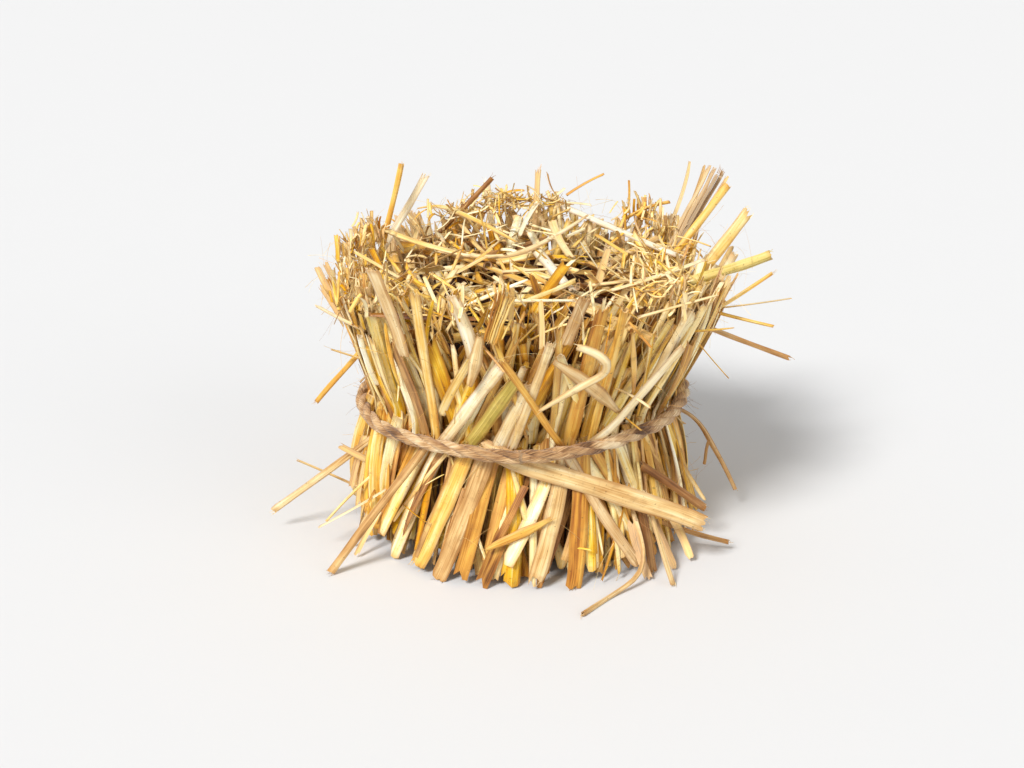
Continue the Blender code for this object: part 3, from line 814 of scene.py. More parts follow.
heroFlat = {
    "form": "flat", "columns": 9, "frays": 4, "wall": 0.45 * mm, "curl": 0.10, "veins": 0.010,
    "tear": 0.32, "splits": 2, "splitDepth": 1.3 * mm, "twist": 12, "sway": 0.15,
}
heroLeaf = {
    "form": "flat", "columns": 9, "frays": 1, "wall": 0.3 * mm, "curl": 0.42, "veins": 0.02,
    "tear": 0.3, "splits": 0, "splitDepth": 1.0 * mm, "twist": 26, "sway": 0.2,
}
heroRound = {
    "form": "round", "columns": 12, "frays": 3, "squash": 0.86, "bore": 0.66, "boreDepth": 2.4,
    "tear": 0.45, "splits": 1, "splitDepth": 1.2 * mm, "twist": 5, "sway": 0.2,
}
heroTones = {
    "upper_gold_left": 0.72, "top_white_flat": 0.95, "top_broad_white": 0.88, "lower_broad_straw": 0.3,
    "stray_top_dark": 0.3, "stray_right_brown": 0.6, "stray_brown_stem": 0.62, "lower_weathered": 0.85,
    "lower_brown_slant": 0.42, "upper_brown_cut": 0.75, "stray_tall_split": 0.12, "upper_gold_culm": 0.5,
    "upper_curled_leaf": 0.42, "lower_gold_leaf": 0.48, "upper_short_pale": 0.5, "lower_pale_gold": 0.38,
    "stray_top_left_culm": 0.55, "stray_top_left_pale": 0.8, "stray_top_back": 0.5, "lower_orange": 0.32,
    "top_gold_flat": 0.62, "stray_right_flat": 0.8, "stray_left_low": 0.4, "lower_left_stray": 0.35,
    "stray_right_culm": 0.75, "lower_broad_gold": 0.62, "top_back_leaf": 0.75,
}
otherTones = (0.3, 0.7)
roundShare = 0.6  # a stalk whose thickness is more than this share of its width is a round culm
# stalks beaten apart into strips that fan out towards their head: how many, and how far
fannedStalks = {"stray_tall_split": (5, 0.55), "upper_gold_culm": (6, 0.5)}
fanLook = {"lift": 0.5, "liftAtFoot": 0.4, "overlap": (1.02, 1.12), "toneSwing": (0.35, 0.004)}
shoot = {"node": "stray_brown_stem", "share": 0.55, "reach": (-1.5, -1.0, -8.0), "width": 1.0,
         "spans": 5, "wobble": 0.2}


# a stalk as strips side by side, fanning out towards its head
def fanParts(route, count, spread, chance):
    if route[0][0].z > route[-1][0].z:
        route = [(middle, -across, out, half) for middle, across, out, half in reversed(route)]
    last = len(route) - 1
    several = []
    for number in range(count):
        place = -1 + 2 * (number + 0.5) / count
        lift = chance.uniform(-fanLook["lift"], fanLook["lift"])
        cut = last - chance.randrange(max(1, last // 6))
        stations = []
        for k, (middle, across, out, half) in enumerate(route[:cut + 1]):
            opened = 1 + spread * (k / last) ** 2
            raised = lift * half * (fanLook["liftAtFoot"] + opened - 1)
            aside = across * (place * half * opened) + out * raised
            width = half / count * chance.uniform(*fanLook["overlap"])
            stations.append((middle + aside, across, out, width))
        strip = stalkParts(stations, heroFlat, chance)
        several.append(tinted(strip, 0.0, chance))
    return several


# the short side shoot of the brown stem under the twine
def shootParts(route, chance):
    start = route[round(shoot["share"] * (len(route) - 1))][0]
    end = start + Vector(shoot["reach"]) * mm
    across = (end - start).cross(Vector((0, -1, 0))).normalized()
    out = (end - start).normalized().cross(across)
    stations = []
    for k in range(shoot["spans"] + 1):
        middle = start.lerp(end, k / shoot["spans"]) + across * shoot["wobble"] * mm * math.sin(k)
        stations.append((middle, across, out, shoot["width"] / 2 * mm))
    return stalkParts(stations, heroRound, chance)


def heroStalk(node, number):
    chance = random.Random(700 + number)
    stations = tuckedUnderTwine(routeOf(node))
    if node.startswith("lower_") and node not in leaningStalks:
        stations = spreadFoot(stations)
    middle = stations[len(stations) // 2]
    tapered = stations[1][3] < middle[3] * taperShare
    look = heroFlat
    if middle[4] > middle[3] * roundShare:
        look = heroRound
    elif tapered:
        look = heroLeaf
    route = naturalRoute(stations, look, chance)
    if node in fannedStalks:
        parts = fanParts(route, *fannedStalks[node], chance)
    else:
        parts = [stalkParts(route, look, chance)]
    parts += frayParts(route, look, chance)
    if node == shoot["node"]:
        parts.append(shootParts(route, chance))
    tone = heroTones.get(node, chance.uniform(*otherTones))
    joined = tinted(joinParts(parts), tone, chance)
    if node in fannedStalks:
        swing, pace = fanLook["toneSwing"]
        joined["tone"] = [tone + swing * math.sin(n * pace) for n in range(len(joined["corners"]))]
    obj = stalkObject(node + "_stalk", joined, strawMaterials[slotOf[node]])
    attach(obj, "root")
    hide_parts(node)


for number, node in enumerate(sorted(nodes)):
    if node not in ("packed_straw", "twine"):
        heroStalk(node, number)
print("stalks that stand out made")

# Variants that the node trees repeat: one long along Z, and one half width each way across.
# Their tears, splits and bores are shares of the length.
variantForms = {
    "flat": {"form": "flat", "columns": 4, "wall": 0.17, "curl": 0.07, "veins": 0.03,
             "tear": 0.02, "splits": 1, "splitDepth": 0.05, "count": 4, "spans": 7},
    "pressed": {"form": "flat", "columns": 4, "wall": 0.34, "curl": -0.08, "veins": 0.08,
                "tear": 0.03, "splits": 2, "splitDepth": 0.07, "count": 2, "spans": 7},
    "culm": {"form": "round", "columns": 8, "squash": 0.9, "bore": 0.68, "boreDepth": 0.05,
             "tear": 0.015, "splits": 1, "splitDepth": 0.03, "count": 1, "spans": 6},
    "leaf": {"form": "flat", "columns": 4, "wall": 0.16, "curl": 0.5, "veins": 0.08,
             "tear": 0.02, "splits": 0, "splitDepth": 0.03, "count": 2, "spans": 8},
}
variantSway = ((0.20, 4, 1), (0.12, 3, 2))  # how far, how fast along it, and its start
leafWidth = {"tip": 0.25, "from": 0.12, "over": 0.8}


# a variant is kept in a collection of its own, out of the scene
def keepVariant(collection, name, parts):
    obj = stalkObject(name, parts, None, grainUnit=1)
    bpy.context.scene.collection.objects.unlink(obj)
    collection.objects.link(obj)


def variantCollection(name):
    collection = bpy.data.collections.new(name)
    chance = random.Random(41)
    for form, look in variantForms.items():
        for number in range(look["count"]):
            stations = []
            for k in range(look["spans"] + 1):
                share = k / look["spans"]
                half = 1.0
                if form == "leaf":
                    swell = math.sin(math.pi * (leafWidth["from"] + leafWidth["over"] * share))
                    half = leafWidth["tip"] + (1 - leafWidth["tip"]) * swell
                middle = Vector([far * math.sin(fast * share + start * number)
                                 for far, fast, start in variantSway] + [share])
                stations.append((middle, Vector((1, 0, 0)), Vector((0, 1, 0)), half))
            keepVariant(collection, f"{name}_{form}_{number}", stalkParts(stations, look, chance))
    return collection


stalkVariants = variantCollection("stalk_variant")

# one thin fibre in three bends, for hairs and frayed skin
fibreForm = {"bends": (0.10, 0.22, 0.38), "spans": 5, "radius": 0.008, "tipShare": 0.4}
fibreVariants = bpy.data.collections.new("fibre_variant")
for number, bend in enumerate(fibreForm["bends"]):
    spans = fibreForm["spans"]
    bow = [Vector((0, bend * math.sin(math.pi * k / spans), k / spans)) for k in range(spans + 1)]
    parts = fibreParts(bow, fibreForm["radius"], fibreForm["tipShare"])
    keepVariant(fibreVariants, f"fibre_variant_{number}", parts)


socketKinds = {int: "NodeSocketInt", float: "NodeSocketFloat", bpy.types.Collection: "NodeSocketCollection",
               bpy.types.Material: "NodeSocketMaterial"}


# starts a node tree whose inputs are named like the given values
def startTree(name, values):
    tree = bpy.data.node_groups.new(name, "GeometryNodeTree")
    tree.interface.new_socket("Geometry", in_out="INPUT", socket_type="NodeSocketGeometry")
    tree.interface.new_socket("Geometry", in_out="OUTPUT", socket_type="NodeSocketGeometry")
    for key, value in values.items():
        tree.interface.new_socket(key, in_out="INPUT", socket_type=socketKinds[type(value)])
    group = tree.nodes.new("NodeGroupInput").outputs
    return tree, group


# runs a tree on a mesh of points and keeps the result as a plain mesh
def growPiece(name, tree, points, values):
    mesh = bpy.data.meshes.new(name)
    mesh.from_pydata(points, [], [])
    obj = newObject(name, mesh)
    modifier = obj.modifiers.new(name, "NODES")
    modifier.node_group = tree
    for item in tree.interface.items_tree:
        if item.in_out == "INPUT" and item.name in values:
            modifier[item.identifier] = values[item.name]
    graph = bpy.context.evaluated_depsgraph_get()
    grown = bpy.data.meshes.new_from_object(obj.evaluated_get(graph), depsgraph=graph)
    obj.modifiers.remove(modifier)
    obj.data = grown
    grown.name = name
    grown.shade_smooth()
    grown.set_sharp_from_angle(angle=sharpAngle)
    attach(obj, "root")
    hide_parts("packed_straw")
    print(name, len(grown.polygons), "faces")


# Packed stalks: each is placed by its bearing and by the heights of its foot and head, and
# bent so that it is drawn in at the waist. Every spread is a low and a high value, in
# millimetres or degrees where it has a unit. The jitter of the bearing is in radians.
stalkSpreads = {
    "foot": (0.0, 6.0), "head": (74.0, 86.0), "slant": (-8.0, 8.0), "waist": (40.0, 46.0),
    "flare": (0.30, 0.42), "footFlare": (0.05, 0.16), "width": (2.0, 4.5), "roll": (-25.0, 25.0),
    "twist": (-20.0, 20.0), "bow": (-0.5, 1.0), "tone": (0.1, 0.8), "seedShift": (0.0, 400.0),
    "jitter": (-0.1, 0.1),
}
spreadUnits = {"foot": mm, "head": mm, "waist": mm, "width": mm / 2, "bow": mm,
               "slant": math.radians(1), "roll": math.radians(1), "twist": math.radians(1)}
goldenShare = (math.sqrt(5) - 1) / 2  # steps of this share of a turn spread the stalks evenly
seedStep = 17.0  # between one spread's seed and the next
layerShare = 0.37  # a stalk's shift into the grain's third direction, as a share of that along it


# the inputs that both trees take: the variants, and the low and high value of each spread
def spreadValues(seed, variants, spreads, changed):
    values = {"seed": seed, "variants": variants, "last variant": len(variants.objects) - 1,
              "material": strawMaterials["straw_packed"]}
    for key, spread in spreads.items():
        low, high = changed.get(key, spread)
        values[key + " low"] = float(low)
        values[key + " high"] = float(high)
    return values


# stores a random value for each spread on the points, in metres and radians
def storeSpreads(tree, group, points, spreads):
    calc = "ShaderNodeMath"
    for number, key in enumerate(spreads):
        seed = addNode(tree, calc, {0: group["seed"], 1: number * seedStep}, operation="ADD")
        value = addNode(tree, "FunctionNodeRandomValue",
                        {2: group[key + " low"], 3: group[key + " high"], 8: seed},
                        out=1, data_type="FLOAT")
        value = addNode(tree, calc, {0: value, 1: spreadUnits.get(key, 1.0)}, operation="MULTIPLY")
        points = addNode(tree, "GeometryNodeStoreNamedAttribute",
                         {"Geometry": points, "Name": key, "Value": value},
                         data_type="FLOAT", domain="POINT")
    return points


# puts a random variant on each point, makes them real, and reads back what the points stored
def placeVariants(tree, group, points, fields):
    several = addNode(tree, "GeometryNodeCollectionInfo",
                      {"Collection": group["variants"], "Separate Children": True, "Reset Children": True})
    pick = addNode(tree, "FunctionNodeRandomValue",
                   {4: 0, 5: group["last variant"], 8: group["seed"]}, out=2, data_type="INT")
    placed = addNode(tree, "GeometryNodeInstanceOnPoints",
                     {"Points": points, "Instance": several, "Pick Instance": True, "Instance Index": pick})
    real = addNode(tree, "GeometryNodeRealizeInstances", {"Geometry": placed})
    return real, {key: addNode(tree, "GeometryNodeInputNamedAttribute", {"Name": key}, data_type="FLOAT")
                  for key in fields}


# sets the material's grain from the variant's own, the stalk's size and a shift of its own
def storeGrain(tree, geometry, length, halfWidth, seedShift):
    calc = "ShaderNodeMath"
    unit = addNode(tree, "GeometryNodeInputNamedAttribute", {"Name": "grain"}, data_type="FLOAT_VECTOR")
    size = addNode(tree, "ShaderNodeCombineXYZ", {0: halfWidth, 1: length})
    size = addNode(tree, "ShaderNodeVectorMath", {0: size, "Scale": 1 / mm}, operation="SCALE")
    drawn = addNode(tree, "ShaderNodeVectorMath", {0: unit, 1: size}, operation="MULTIPLY")
    aside = addNode(tree, calc, {0: seedShift, 1: layerShare}, operation="MULTIPLY")
    shift = addNode(tree, "ShaderNodeCombineXYZ", {0: seedShift, 1: seedShift, 2: aside})
    drawn = addNode(tree, "ShaderNodeVectorMath", {0: drawn, 1: shift}, operation="ADD")
    return addNode(tree, "GeometryNodeStoreNamedAttribute",
                   {"Geometry": geometry, "Name": "grain", "Value": drawn},
                   data_type="FLOAT_VECTOR", domain="POINT")


def endTree(tree, group, geometry):
    finished = addNode(tree, "GeometryNodeSetMaterial", {"Geometry": geometry, "Material": group["material"]})
    tree.links.new(finished, tree.nodes.new("NodeGroupOutput").inputs[0])


def stalkValues(count, seed, sector=(0, 360), **changed):
    start, end = sector
    return {"count": round(count * few), "sector start": math.radians(start),
            "sector size": math.radians(end - start),
            **spreadValues(seed, stalkVariants, stalkSpreads, changed)}


def packedStalksTree():
    calc = "ShaderNodeMath"
    tree, group = startTree("packed_stalks", stalkValues(1, 0))
    points = addNode(tree, "GeometryNodePoints", {"Count": group["count"]})
    points = storeSpreads(tree, group, points, stalkSpreads)
    index = addNode(tree, "GeometryNodeInputIndex")
    spot = addNode(tree, calc, {0: index, 1: goldenShare}, operation="MULTIPLY")
    spot = addNode(tree, calc, {0: spot}, operation="FRACT")
    bearing = addNode(tree, calc, {0: spot, 1: group["sector size"], 2: group["sector start"]},
                      operation="MULTIPLY_ADD")
    jitter = addNode(tree, "GeometryNodeInputNamedAttribute", {"Name": "jitter"}, data_type="FLOAT")
    bearing = addNode(tree, calc, {0: bearing, 1: jitter}, operation="ADD")
    points = addNode(tree, "GeometryNodeStoreNamedAttribute",
                     {"Geometry": points, "Name": "bearing", "Value": bearing},
                     data_type="FLOAT", domain="POINT")
    stalks, of = placeVariants(tree, group, points, ["bearing", *stalkSpreads])

    # stalks that reach the rim are shorter on the left, where the rim dips
    side = addNode(tree, calc, {0: of["bearing"]}, operation="SINE")
    left = addNode(tree, calc, {0: side, 1: -1.0}, operation="MULTIPLY")
    left = addNode(tree, calc, {0: left, 1: 0.0}, operation="MAXIMUM")
    left = addNode(tree, calc, {0: left, 1: bundle["dipSharpness"]}, operation="POWER")
    upper = addNode(tree, calc, {0: of["head"], 1: bundle["rimFrom"]}, operation="GREATER_THAN")
    left = addNode(tree, calc, {0: left, 1: upper}, operation="MULTIPLY")
    of["head"] = addNode(tree, calc, {0: left, 1: -bundle["rimDip"], 2: of["head"]}, operation="MULTIPLY_ADD")

    # turned about its own length, and given its own twist
    place = addNode(tree, "GeometryNodeInputPosition")
    share = addNode(tree, "ShaderNodeSeparateXYZ", {0: place}, out=2)
    fromMiddle = addNode(tree, calc, {0: share, 1: 0.5}, operation="SUBTRACT")
    turn = addNode(tree, calc, {0: fromMiddle, 1: of["twist"], 2: of["roll"]}, operation="MULTIPLY_ADD")
    turned = addNode(tree, "ShaderNodeVectorRotate", {"Vector": place, "Angle": turn},
                     rotation_type="Z_AXIS")
    turned = addNode(tree, "ShaderNodeVectorMath", {0: turned, "Scale": of["width"]}, operation="SCALE")
    across = addNode(tree, "ShaderNodeSeparateXYZ", {0: turned}, out=0)
    out = addNode(tree, "ShaderNodeSeparateXYZ", {0: turned}, out=1)

    # height over the table: along the stalk, less at one edge where it slants
    length = addNode(tree, calc, {0: of["head"], 1: of["foot"]}, operation="SUBTRACT")
    drop = addNode(tree, calc, {0: of["slant"]}, operation="SINE")
    drop = addNode(tree, calc, {0: across, 1: drop}, operation="MULTIPLY")
    height = addNode(tree, calc, {0: share, 1: length, 2: of["foot"]}, operation="MULTIPLY_ADD")
    height = addNode(tree, calc, {0: height, 1: drop}, operation="SUBTRACT")

    # distance out: the waist, the flare over or under it, and a bow of its own
    up = addNode(tree, calc, {0: height, 1: bundle["waistHeight"]}, operation="SUBTRACT")
    above = addNode(tree, calc, {0: up, 1: 0.0}, operation="GREATER_THAN")
    flare = addNode(tree, "ShaderNodeMix", {0: above, 2: of["footFlare"], 3: of["flare"]})
    flare = addNode(tree, calc, {0: side, 1: bundle["sideFlare"], 2: flare}, operation="MULTIPLY_ADD")
    squared = addNode(tree, calc, {0: up, 1: up, 2: bundle["waistSoftness"] ** 2}, operation="MULTIPLY_ADD")
    away = addNode(tree, calc, {0: squared}, operation="SQRT")
    away = addNode(tree, calc, {0: away, 1: bundle["waistSoftness"]}, operation="SUBTRACT")
    radius = addNode(tree, calc, {0: flare, 1: away, 2: of["waist"]}, operation="MULTIPLY_ADD")
    radius = addNode(tree, calc, {0: radius, 1: out}, operation="ADD")
    bulge = addNode(tree, calc, {0: fromMiddle, 1: fromMiddle}, operation="MULTIPLY")
    bulge = addNode(tree, calc, {0: bulge, 1: -4.0, 2: 1.0}, operation="MULTIPLY_ADD")
    radius = addNode(tree, calc, {0: bulge, 1: of["bow"], 2: radius}, operation="MULTIPLY_ADD")

    # way round: the bearing, the slant's run, and the stalk's width
    run = addNode(tree, calc, {0: of["slant"]}, operation="TANGENT")
    run = addNode(tree, calc, {0: run, 1: length}, operation="MULTIPLY")
    level = addNode(tree, calc, {0: of["slant"]}, operation="COSINE")
    level = addNode(tree, calc, {0: level, 1: across}, operation="MULTIPLY")
    arc = addNode(tree, calc, {0: fromMiddle, 1: run, 2: level}, operation="MULTIPLY_ADD")
    arc = addNode(tree, calc, {0: arc, 1: radius}, operation="DIVIDE")
    angle = addNode(tree, calc, {0: of["bearing"], 1: arc}, operation="ADD")
    sine = addNode(tree, calc, {0: angle}, operation="SINE")
    cosine = addNode(tree, calc, {0: angle}, operation="COSINE")
    x = addNode(tree, calc, {0: radius, 1: sine}, operation="MULTIPLY")
    y = addNode(tree, calc, {0: radius, 1: cosine}, operation="MULTIPLY")
    y = addNode(tree, calc, {0: y, 1: -1.0}, operation="MULTIPLY")
    height = addNode(tree, calc, {0: height, 1: lowest}, operation="MAXIMUM")
    bent = addNode(tree, "ShaderNodeCombineXYZ", {0: x, 1: y, 2: height})
    stalks = storeGrain(tree, stalks, length, of["width"], of["seedShift"])
    stalks = addNode(tree, "GeometryNodeSetPosition", {"Geometry": stalks, "Position": bent})
    endTree(tree, group, stalks)
    return tree


packedStalks = packedStalksTree()
packedPieces = {
    # inner stalks: darker tones as painted shade, for the shade deep between the outer stalks
    "inner_stalks": stalkValues(380, 1, waist=(31.5, 38.5), head=(60, 78), slant=(-14, 14),
                                flare=(0.36, 0.44), footFlare=(0.08, 0.20), width=(1.2, 4.0),
                                tone=(0.55, 1.0), roll=(-50, 50)),
    "front_upper_left": stalkValues(22, 2, (-72, -20), foot=(35, 40), head=(60, 84),
                                    slant=(-10, 12), waist=(39.4, 42.6), flare=(0.39, 0.44),
                                    width=(2.0, 5.0), roll=(-22, 22), bow=(-0.3, 0.5), tone=(0.12, 0.74)),
    "front_upper_right": stalkValues(36, 13, (-20, 72), foot=(35, 40), head=(58, 82),
                                     slant=(-2, 30), waist=(39.4, 42.6), flare=(0.39, 0.44),
                                     width=(1.8, 4.8), roll=(-22, 22), bow=(-0.3, 0.5), tone=(0.20, 0.68)),
    "side_upper_stalks": stalkValues(215, 5, (64, 296), foot=(35, 40), head=(62, 84),
                                     slant=(-18, 18), waist=(41.0, 44.8), flare=(0.37, 0.45),
                                     width=(1.5, 5.0), roll=(-30, 30), bow=(0.2, 1.6), tone=(0.16, 0.74)),
    "front_lower_left": stalkValues(44, 3, (-72, 22), foot=(0.3, 8), head=(40, 44),
                                    slant=(0, 28), waist=(39.4, 42.8), footFlare=(0.20, 0.31),
                                    width=(1.6, 4.8), roll=(-22, 22), bow=(-0.3, 1.0), tone=(0.25, 0.85)),
    "front_lower_right": stalkValues(48, 14, (22, 72), foot=(0.3, 10), head=(40, 44),
                                     slant=(-30, 14), waist=(39.4, 42.8), footFlare=(0.20, 0.31),
                                     width=(0.9, 3.8), roll=(-26, 26), bow=(-0.3, 1.4), tone=(0.20, 0.85)),
    "side_lower_stalks": stalkValues(200, 6, (64, 296), foot=(0.3, 9), head=(40, 44),
                                     slant=(-20, 20), waist=(41.0, 44.8), footFlare=(0.10, 0.28),
                                     width=(1.6, 5.0), roll=(-30, 30), bow=(0.6, 3.4), tone=(0.20, 0.82)),
    "crossing_stalks": stalkValues(26, 8, foot=(41, 56), head=(60, 84), slant=(-30, 34),
                                   waist=(43.2, 44.8), flare=(0.41, 0.45), width=(0.8, 2.6),
                                   roll=(-20, 20), bow=(0.0, 1.0), tone=(0.0, 0.6)),
    "crossing_feet": stalkValues(30, 9, foot=(0.5, 14), head=(26, 38), slant=(-32, 36),
                                 waist=(43.2, 44.8), footFlare=(0.15, 0.25), width=(0.7, 2.4),
                                 roll=(-20, 20), bow=(0.0, 0.8), tone=(0.36, 0.85)),
    "rim_stalks": stalkValues(380, 4, foot=(52, 60), head=(66, 84), slant=(-32, 32),
                              waist=(27, 41.4), flare=(0.25, 0.44), width=(0.8, 3.0), roll=(-90, 90),
                              bow=(-0.5, 0.5), tone=(0.20, 0.68)),
    "rim_tips": stalkValues(190, 7, foot=(60, 68), head=(72, 86), slant=(-40, 40),
                            waist=(30, 42.2), flare=(0.25, 0.44), width=(0.5, 1.8), roll=(-90, 90),
                            bow=(-1.0, 1.0), tone=(0.22, 0.60)),
    "foot_middle": stalkValues(40, 10, foot=(0.2, 2.5), head=(9, 12), slant=(-12, 12),
                               waist=(2, 13), width=(2.0, 5.0), roll=(-90, 90), tone=(0.2, 0.8)),
    "foot_between": stalkValues(110, 11, foot=(0.2, 2.5), head=(9, 12), slant=(-12, 12),
                                waist=(13, 27), width=(2.0, 5.0), roll=(-90, 90), tone=(0.2, 0.8)),
    "foot_ends": stalkValues(240, 12, foot=(0.2, 3.0), head=(9, 13), slant=(-12, 12),
                             waist=(27, 42), width=(2.0, 5.0), roll=(-90, 90), tone=(0.2, 0.85)),
}
for name, values in packedPieces.items():
    growPiece(name, packedStalks, [], values)
print("packed stalks made")

# The dark middle, fluted like the stalks before it, that shows in the gaps between them; it is painted shade,
# coloured near black-brown to stand in for the shade deep in the bundle
shadedMiddle = {
    "columns": 150, "inset": 12.0 * mm, "flute": 0.9 * mm,
    "heights": (0.003, 0.012, 0.022, 0.031, 0.037, 0.043, 0.050, 0.058, 0.064, 0.068),
    "dish": ((0.044, 0.0690), (0.030, 0.0665), (0.012, 0.0655)),  # radius and height
}


def makeShadedMiddle():
    look = shadedMiddle
    chance = random.Random(3)
    parts = emptyParts()
    count = look["columns"]
    flutes = [chance.uniform(-1, 1) * look["flute"] for n in range(count)]
    rings = [[(skinRadius(math.tau * n / count, height, look["inset"]) + flutes[n], height)
              for n in range(count)] for height in look["heights"]]
    rings += [[(radius, height + flutes[n]) for n in range(count)] for radius, height in look["dish"]]
    for ring in rings:
        for n, (radius, height) in enumerate(ring):
            angle = math.tau * n / count
            addCorner(parts, around(angle, radius, height), (angle * radius, height, 0.0))
    joinRings(parts, 0, len(rings), count)
    capEnds(parts, 0, len(rings), count)
    obj = stalkObject("shaded_middle", parts, shadedStraw)
    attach(obj, "root")
    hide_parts("packed_straw")


makeShadedMiddle()

# Loose straw: points strewn by the script, each with a variant turned its own way, bent a little
looseSpreads = {
    "length": (14.0, 40.0), "width": (1.2, 3.6), "heading": (0.0, 360.0), "tilt": (-12.0, 12.0),
    "roll": (-40.0, 40.0), "sag": (-0.03, 0.06), "tone": (0.0, 0.7), "seedShift": (0.0, 400.0),
}
spreadUnits.update({"length": mm, "heading": math.radians(1), "tilt": math.radians(1)})


def looseValues(seed, variants, **changed):
    return spreadValues(seed, variants, looseSpreads, changed)


def looseStrawTree():
    calc = "ShaderNodeMath"
    tree, group = startTree("loose_straw", looseValues(0, stalkVariants))
    points = storeSpreads(tree, group, group["Geometry"], looseSpreads)
    centre = addNode(tree, "GeometryNodeInputPosition")
    points = addNode(tree, "GeometryNodeStoreNamedAttribute",
                     {"Geometry": points, "Name": "centre", "Value": centre},
                     data_type="FLOAT_VECTOR", domain="POINT")
    straws, of = placeVariants(tree, group, points, looseSpreads)
    middle = addNode(tree, "GeometryNodeInputNamedAttribute", {"Name": "centre"}, data_type="FLOAT_VECTOR")
    place = addNode(tree, "GeometryNodeInputPosition")
    local = addNode(tree, "ShaderNodeVectorMath", {0: place, 1: middle}, operation="SUBTRACT")
    share = addNode(tree, "ShaderNodeSeparateXYZ", {0: local}, out=2)
    turned = addNode(tree, "ShaderNodeVectorRotate", {"Vector": local, "Angle": of["roll"]},
                     rotation_type="Z_AXIS")
    turned = addNode(tree, "ShaderNodeVectorMath", {0: turned, "Scale": of["width"]}, operation="SCALE")
    x = addNode(tree, "ShaderNodeSeparateXYZ", {0: turned}, out=0)
    y = addNode(tree, "ShaderNodeSeparateXYZ", {0: turned}, out=1)
    fromMiddle = addNode(tree, calc, {0: share, 1: 0.5}, operation="SUBTRACT")
    z = addNode(tree, calc, {0: fromMiddle, 1: of["length"]}, operation="MULTIPLY")
    bend = addNode(tree, calc, {0: fromMiddle, 1: z}, operation="MULTIPLY")
    bend = addNode(tree, calc, {0: bend, 1: of["sag"]}, operation="MULTIPLY")
    y = addNode(tree, calc, {0: bend, 1: -4.0, 2: y}, operation="MULTIPLY_ADD")
    lying = addNode(tree, "ShaderNodeCombineXYZ", {0: x, 1: z, 2: y})
    lying = addNode(tree, "ShaderNodeVectorRotate", {"Vector": lying, "Angle": of["tilt"]},
                    rotation_type="X_AXIS")
    lying = addNode(tree, "ShaderNodeVectorRotate", {"Vector": lying, "Angle": of["heading"]},
                    rotation_type="Z_AXIS")
    laid = addNode(tree, "ShaderNodeVectorMath", {0: lying, 1: middle}, operation="ADD")
    laid = addNode(tree, "ShaderNodeVectorMath", {0: laid, 1: (-1.0, -1.0, lowest)}, operation="MAXIMUM")
    straws = storeGrain(tree, straws, of["length"], of["width"], of["seedShift"])
    straws = addNode(tree, "GeometryNodeSetPosition", {"Geometry": straws, "Position": laid})
    endTree(tree, group, straws)
    return tree


looseStraw = looseStrawTree()
dishRise = 5.0 * mm  # of the dish, from its middle to its rim


# points strewn over the dish, in layers from its bottom upwards
def dishPoints(count, reach, low, high, seed):
    chance = random.Random(seed)
    count = round(count * few)
    points = []
    for k in range(count):
        bearing = chance.uniform(0, math.tau)
        radius = reach * math.sqrt(chance.random())
        lift = (high - low) * k / count
        rise = dishRise * (radius / reach) ** 2
        points.append(around(bearing, radius, low + lift + rise))
    return points


# points on the wall, a little in or out from it
def wallPoints(count, low, high, inset, seed):
    chance = random.Random(seed)
    count = round(count * few)
    points = []
    for k in range(count):
        bearing = chance.uniform(0, math.tau)
        height = chance.uniform(low, high)
        points.append(around(bearing, skinRadius(bearing, height, chance.uniform(*inset)), height))
    return points


# points heaped round a few places, each (bearing in degrees, radius, height, how many)
def heapPoints(heaps, spread, seed):
    chance = random.Random(seed)
    points = []
    for bearing, radius, height, count in heaps:
        middle = around(math.radians(bearing), radius * mm, height * mm)
        for k in range(round(count * few)):
            points.append(middle + Vector([chance.gauss(0, s * mm) for s in spread]))
    return points


# where cut ends are beaten to pale shreds, all round the rim but mostly on its left and behind
shredHeaps = (
    (-84, 49, 78, 50), (-66, 52, 80, 60), (-50, 54, 82, 50), (-16, 60, 87, 20), (-4, 60, 89, 16),
    (48, 56, 82, 40), (125, 54, 82, 30), (134, 53, 86, 40), (200, 55, 81, 36), (170, 56, 82, 30),
    (-100, 51, 82, 50), (-112, 50, 85, 40),
)
# where fine chaff lies on and inside the rim
chaffHeaps = (
    (62, 40, 83, 60), (42, 50, 83, 40), (100, 44, 81, 40), (-60, 46, 80, 40), (-172, 50, 86, 60),
    (179, 50, 86, 40), (-154, 48, 84, 30),
)
